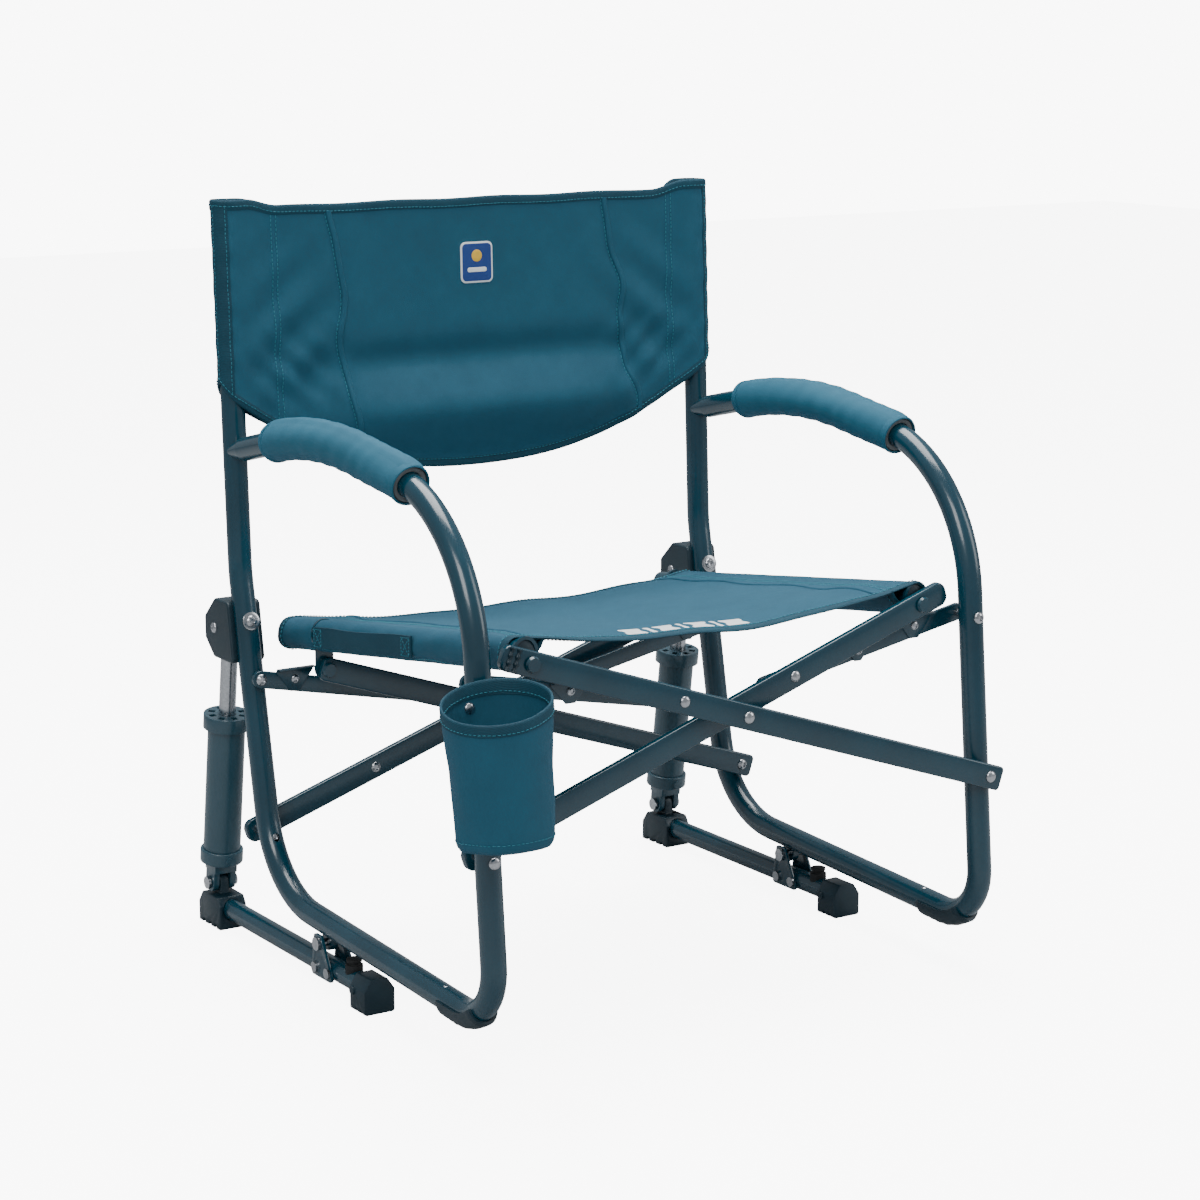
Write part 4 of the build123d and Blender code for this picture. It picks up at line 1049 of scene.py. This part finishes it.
def makePad(side, s):
    x = s * chair["track"]
    low, high = pad[side]
    pts = [at(x, p.x, p.y) for p in fineRun(armRun) if low <= p.x <= high and p.y > 400]

    def section(t):
        ring = []
        for k in range(40):
            a = 2 * math.pi * k / 40
            ripple = 0.4 * math.sin(t * 60 + a * 2) * math.sin(t * 3.1)
            r = pad["outer"] + 0.5 * math.sin(a * 3 + t * 7 + s) + ripple
            r -= 1.2 * (bump(t, 0.0, 0.02) + bump(t, 1.0, 0.02)) * 1.5
            # the overlap's edge runs along the lower outer side
            lap = (a - (math.radians(250) if s < 0 else math.radians(290))) % (2 * math.pi)
            r += 1.6 if lap < math.radians(70) else 0.0
            ring.append((r / 1000 * math.cos(a), r / 1000 * math.sin(a)))
        return ring
    wrap = tube(side + "ArmWrap", pts, section, padCloth, side + "_frame", caps=False, sharp=55)
    # the ends turn in over the foam
    ends = []
    for tag, p, q in (("Front", pts[0], pts[1]), ("Rear", pts[-1], pts[-2])):
        d = (p - q).normalized()
        ends.append(lathe(side + "ArmFoam" + tag, p - d * 0.0085, d,
                          [(0.0, 0.0128), (0.0, pad["foam"] / 1000), (0.0055, pad["foam"] / 1000),
                           (0.0075, (pad["foam"] - 1.4) / 1000), (0.0078, 0.0156), (0.0068, 0.0132),
                           (0.0, 0.0128)], foam, side + "_frame", around=36))
        rim = [(0.0, (pad["outer"] - 1.8) / 1000), (0.0, (pad["outer"] + 0.2) / 1000),
               (0.0055, (pad["outer"] + 0.3) / 1000), (0.0075, (pad["outer"] - 0.5) / 1000),
               (0.0078, (pad["foam"] + 0.3) / 1000), (0.003, (pad["foam"] - 0.2) / 1000)]
        ends.append(lathe(side + "ArmHem" + tag, p - d * 0.0065, d, rim, padCloth, side + "_frame",
            around=36))
    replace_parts(wrap, side + "_arm_pad")
    return [wrap, *ends]


for side, s in (("left", -1), ("right", 1)):
    makePad(side, s)
print("arm pads made")

# Cup holder.
cup = {"x": -312.0, "y": -311.5, "rimZ": 372.0, "topR": 51.0, "lowR": 44.0, "deep": 129.0, "lean": 6.5,
       "dip": 14.0}


def makeCup():
    lean = math.radians(cup["lean"])
    up = Vector((0, math.sin(lean), math.cos(lean)))
    base = at(cup["x"], cup["y"] - cup["deep"] * math.sin(lean), cup["rimZ"] - cup["deep"] * math.cos(lean))
    side, fore = Vector((1, 0, 0)), up.cross(Vector((1, 0, 0)))
    around = 72

    def wall(share, a, inset=0.0):
        # share climbs from the base to the rim; the wall dents a little in slanting creases
        r = mix(cup["lowR"], cup["topR"], share) - inset
        r += 0.9 * math.sin(a * 2 + 0.6) * share + 0.5 * math.sin(a * 3 + 2.0)
        crease = math.sin(a * 2.0 + share * 3.4 + 0.7)
        r += (-1.7 * max(0.0, crease) ** 6 * (1 - share * 0.6)
              + 0.7 * math.sin(a * 5 - share * 6) * (1 - share))
        return r / 1000

    def dip(share, a):
        # the open front sags under its own weight, the riveted back stays up
        return cup["dip"] / 1000 * share ** 1.5 * (0.545 * math.cos(a) + 0.839 * math.sin(a))

    def ringAt(share, inset=0.0, lift=0.0):
        return [base + up * (cup["deep"] * share / 1000 + lift + dip(share, a))
                + (side * math.cos(a) + fore * math.sin(a)) * wall(share, a, inset)
                for a in (2 * math.pi * j / around for j in range(around))]
    verts, rings = [], 0
    steps = [0.0, 0.03, 0.06] + [k / 30 for k in range(3, 31)]
    shrink = {0: 3.0, 1: 0.8}
    for k, share in enumerate(steps):
        verts += ringAt(share, shrink.get(k, 0.0))
        rings += 1
    for share in (1.0, 0.9, 0.75, 0.6, 0.45, 0.3, 0.15, 0.03):
        verts += ringAt(share, 1.6)
        rings += 1
    faces = ringFaces(rings, around, caps=False)
    faces.append(tuple(range(around - 1, -1, -1)))
    faces.append(tuple((rings - 1) * around + j for j in range(around)))
    shell = piece("cupShell", verts, faces, canvas, sharp=60)
    trims = []
    rim = {"tall": 0.085, "out": 0.7}
    verts = []
    profile = [(1 - rim["tall"], 0.2), (1 - rim["tall"], -rim["out"]), (0.995, -rim["out"]), (1.012, -0.2),
        (1.016, 0.8), (1.012, 1.9), (0.995, 2.4), (1 - rim["tall"], 2.4), (1 - rim["tall"], 1.4)]
    for share, inset in profile:
        verts += ringAt(min(share, 1.0), inset, max(0.0, share - 1) * cup["deep"] / 1000)
    trims.append(piece("cupRim", verts, ringFaces(len(profile), around, caps=False), webbing, sharp=60))

    def hoop(share, inset, out):
        spots = []
        for k in range(97):
            a = 2 * math.pi * k / 96
            p = (base + up * (cup["deep"] * share / 1000 + dip(share, a))
                 + (side * math.cos(a) + fore * math.sin(a)) * (wall(share, a, inset)))
            spots.append((p, (side * math.cos(a) + fore * math.sin(a)) * out))
        return spots
    trims.append(stitchRow("cupRimStitches", hoop(0.935, -0.8, 1)))
    trims.append(stitchRow("cupRimInsideStitches", hoop(0.935, 2.5, -1)))
    trims.append(stitchRow("cupBaseStitches", hoop(0.07, -0.1, 1)))
    seam, seamAngle = [], 0.5
    seamWay = side * math.cos(seamAngle) + fore * math.sin(seamAngle)
    for t in (k / 20 for k in range(1, 19)):
        p = base + up * (cup["deep"] * t / 1000 + dip(t, seamAngle)) + seamWay * wall(t, seamAngle, -0.2)
        seam.append((p, seamWay))
    trims.append(stitchRow("cupSideSeam", seam))
    back = base + up * (cup["deep"] * 0.93 / 1000) + fore * wall(0.93, math.pi / 2, 1.8)
    trims.append(rivet("cupRivet", back, -fore, None, r=5.5, dome=2.2))
    return shell, trims


cupShell, cupTrims = makeCup()
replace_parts(cupShell, "cup_holder")
cupAnchor = at(-chair["track"], cup["y"], 300)
for obj in (cupShell, *cupTrims):
    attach(obj, "left_frame")
    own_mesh(obj)
print("cup holder made")

# Pull handle.
def makeHandle():
    handle = {"from": -52.0, "to": 152.0, "half": 11.0, "x": -(chair["railX"] + seat["side"] + 1.2),
        "thick": 2.0}
    verts, stations = [], 41
    for k in range(stations):
        t = k / (stations - 1)
        y = mix(handle["from"], handle["to"], t)
        lift = 3.4 * max(0.0, math.sin((t - 0.18) / 0.64 * math.pi)) if 0.18 < t < 0.82 else 0.0
        for out, z in ((0, -1), (handle["thick"], -1), (handle["thick"] + 0.25, 0), (handle["thick"], 1),
                (0, 1), (0, 0)):
            verts.append(at(handle["x"] - lift - out, y,
                railZ(y) - 1.0 + z * handle["half"] + 0.4 * math.sin(t * 9)))
    strap = piece("pullHandle", verts, ringFaces(stations, 6), webbing, "left_rail", sharp=50)
    for n, (a, b) in enumerate(((-49.0, -34.0), (134.0, 149.0))):
        for m, line in enumerate((((a, -9), (b, -9), (b, 9), (a, 9), (a, -9)), ((a, -9), (b, 9)),
                ((a, 9), (b, -9)))):
            pts = [(at(handle["x"] - handle["thick"] - 0.2, y, railZ(y) - 1 + z), Vector((-1, 0, 0)))
                for y, z in line]
            stitchRow(f"handleStitches{n}{m}", pts, "left_rail", length=2.6, step=3.4)
    return strap


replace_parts(makeHandle(), "pull_handle")
print("pull handle made")

# Floor, light, camera.
view = {"azimuth": -33.0, "elevation": 11.63, "distance": 3.09, "aim": (0, 0, 377), "lens": 90.21}


def makeCamera():
    data = bpy.data.cameras.new("camera")
    data.lens, data.sensor_width = view["lens"], 36.0
    cam = bpy.data.objects.new("camera", data)
    bpy.context.scene.collection.objects.link(cam)
    a, e = math.radians(view["azimuth"]), math.radians(view["elevation"])
    back = Vector((math.sin(a) * math.cos(e), -math.cos(a) * math.cos(e), math.sin(e)))
    cam.location = at(*view["aim"]) + back * view["distance"]
    cam.rotation_euler = (-back).to_track_quat("-Z", "Y").to_euler()
    bpy.context.scene.camera = cam


def softBox(name, place, aim, size, power):
    data = bpy.data.lights.new(name, "AREA")
    data.shape, data.energy = "RECTANGLE", power
    data.size, data.size_y = size
    lamp = bpy.data.objects.new(name, data)
    bpy.context.scene.collection.objects.link(lamp)
    lamp.location = place
    lamp.rotation_euler = (Vector(aim) - Vector(place)).to_track_quat("-Z", "Y").to_euler()


def makeStudio():
    world = bpy.data.worlds.new("studio")
    world.use_nodes = True
    tree = world.node_tree
    around = tree.nodes["Background"]
    around.inputs[0].default_value = (0.9, 0.95, 1.0, 1)
    around.inputs[1].default_value = 0.42
    seen = tree.nodes.new("ShaderNodeBackground")
    seen.inputs[0].default_value = (1, 1, 1, 1)
    seen.inputs[1].default_value = 9.0
    choose, path = tree.nodes.new("ShaderNodeMixShader"), tree.nodes.new("ShaderNodeLightPath")
    tree.links.new(path.outputs["Is Camera Ray"], choose.inputs[0])
    tree.links.new(around.outputs[0], choose.inputs[1])
    tree.links.new(seen.outputs[0], choose.inputs[2])
    tree.links.new(choose.outputs[0], tree.nodes["World Output"].inputs[0])
    bpy.context.scene.world = world
    floorShade = Shade("paleFloor")
    grain = floorShade.node("TexNoise", Vector=floorShade.place(), Scale=3.0, Detail=2.0)
    floorMaterial = floorShade.finish(Base_Color=floorShade.blendColour(grain, (0.36, 0.37, 0.38, 1),
        (0.4, 0.41, 0.42, 1)), Roughness=0.9)
    # the camera sees a bright paper sweep, the chair only gets a mild bounce from it
    bright = floorMaterial.node_tree
    paper, choose, path = (bright.nodes.new("ShaderNode" + kind)
        for kind in ("BsdfPrincipled", "MixShader", "LightPath"))
    paper.inputs["Base Color"].default_value = (0.95, 0.95, 0.95, 1)
    paper.inputs["Roughness"].default_value = 0.9
    paper.inputs["Emission Color"].default_value = (1, 1, 1, 1)
    paper.inputs["Emission Strength"].default_value = 7.5
    end = next(n for n in bright.nodes if n.type == "OUTPUT_MATERIAL")
    bright.links.new(path.outputs["Is Camera Ray"], choose.inputs[0])
    bright.links.new(floorShade.bsdf.outputs[0], choose.inputs[1])
    bright.links.new(paper.outputs[0], choose.inputs[2])
    bright.links.new(choose.outputs[0], end.inputs["Surface"])
    mesh = bpy.data.meshes.new("floor")
    mesh.from_pydata([(-8, -8, 0), (8, -8, 0), (8, 8, 0), (-8, 8, 0)], [], [(0, 1, 2, 3)])
    floor = bpy.data.objects.new("floor", mesh)
    mesh.materials.append(floorMaterial)
    bpy.context.scene.collection.objects.link(floor)
    softBox("keyLight", (-2.6, -2.4, 2.9), (0, 0, 0.35), (1.8, 1.8), 70)
    softBox("fillLight", (2.8, -2.0, 1.8), (0, 0, 0.4), (1.4, 2.2), 30)
    softBox("topLight", (0.2, 0.5, 3.2), (0, 0, 0.3), (2.2, 2.2), 150)


makeCamera()
makeStudio()
print("studio made")
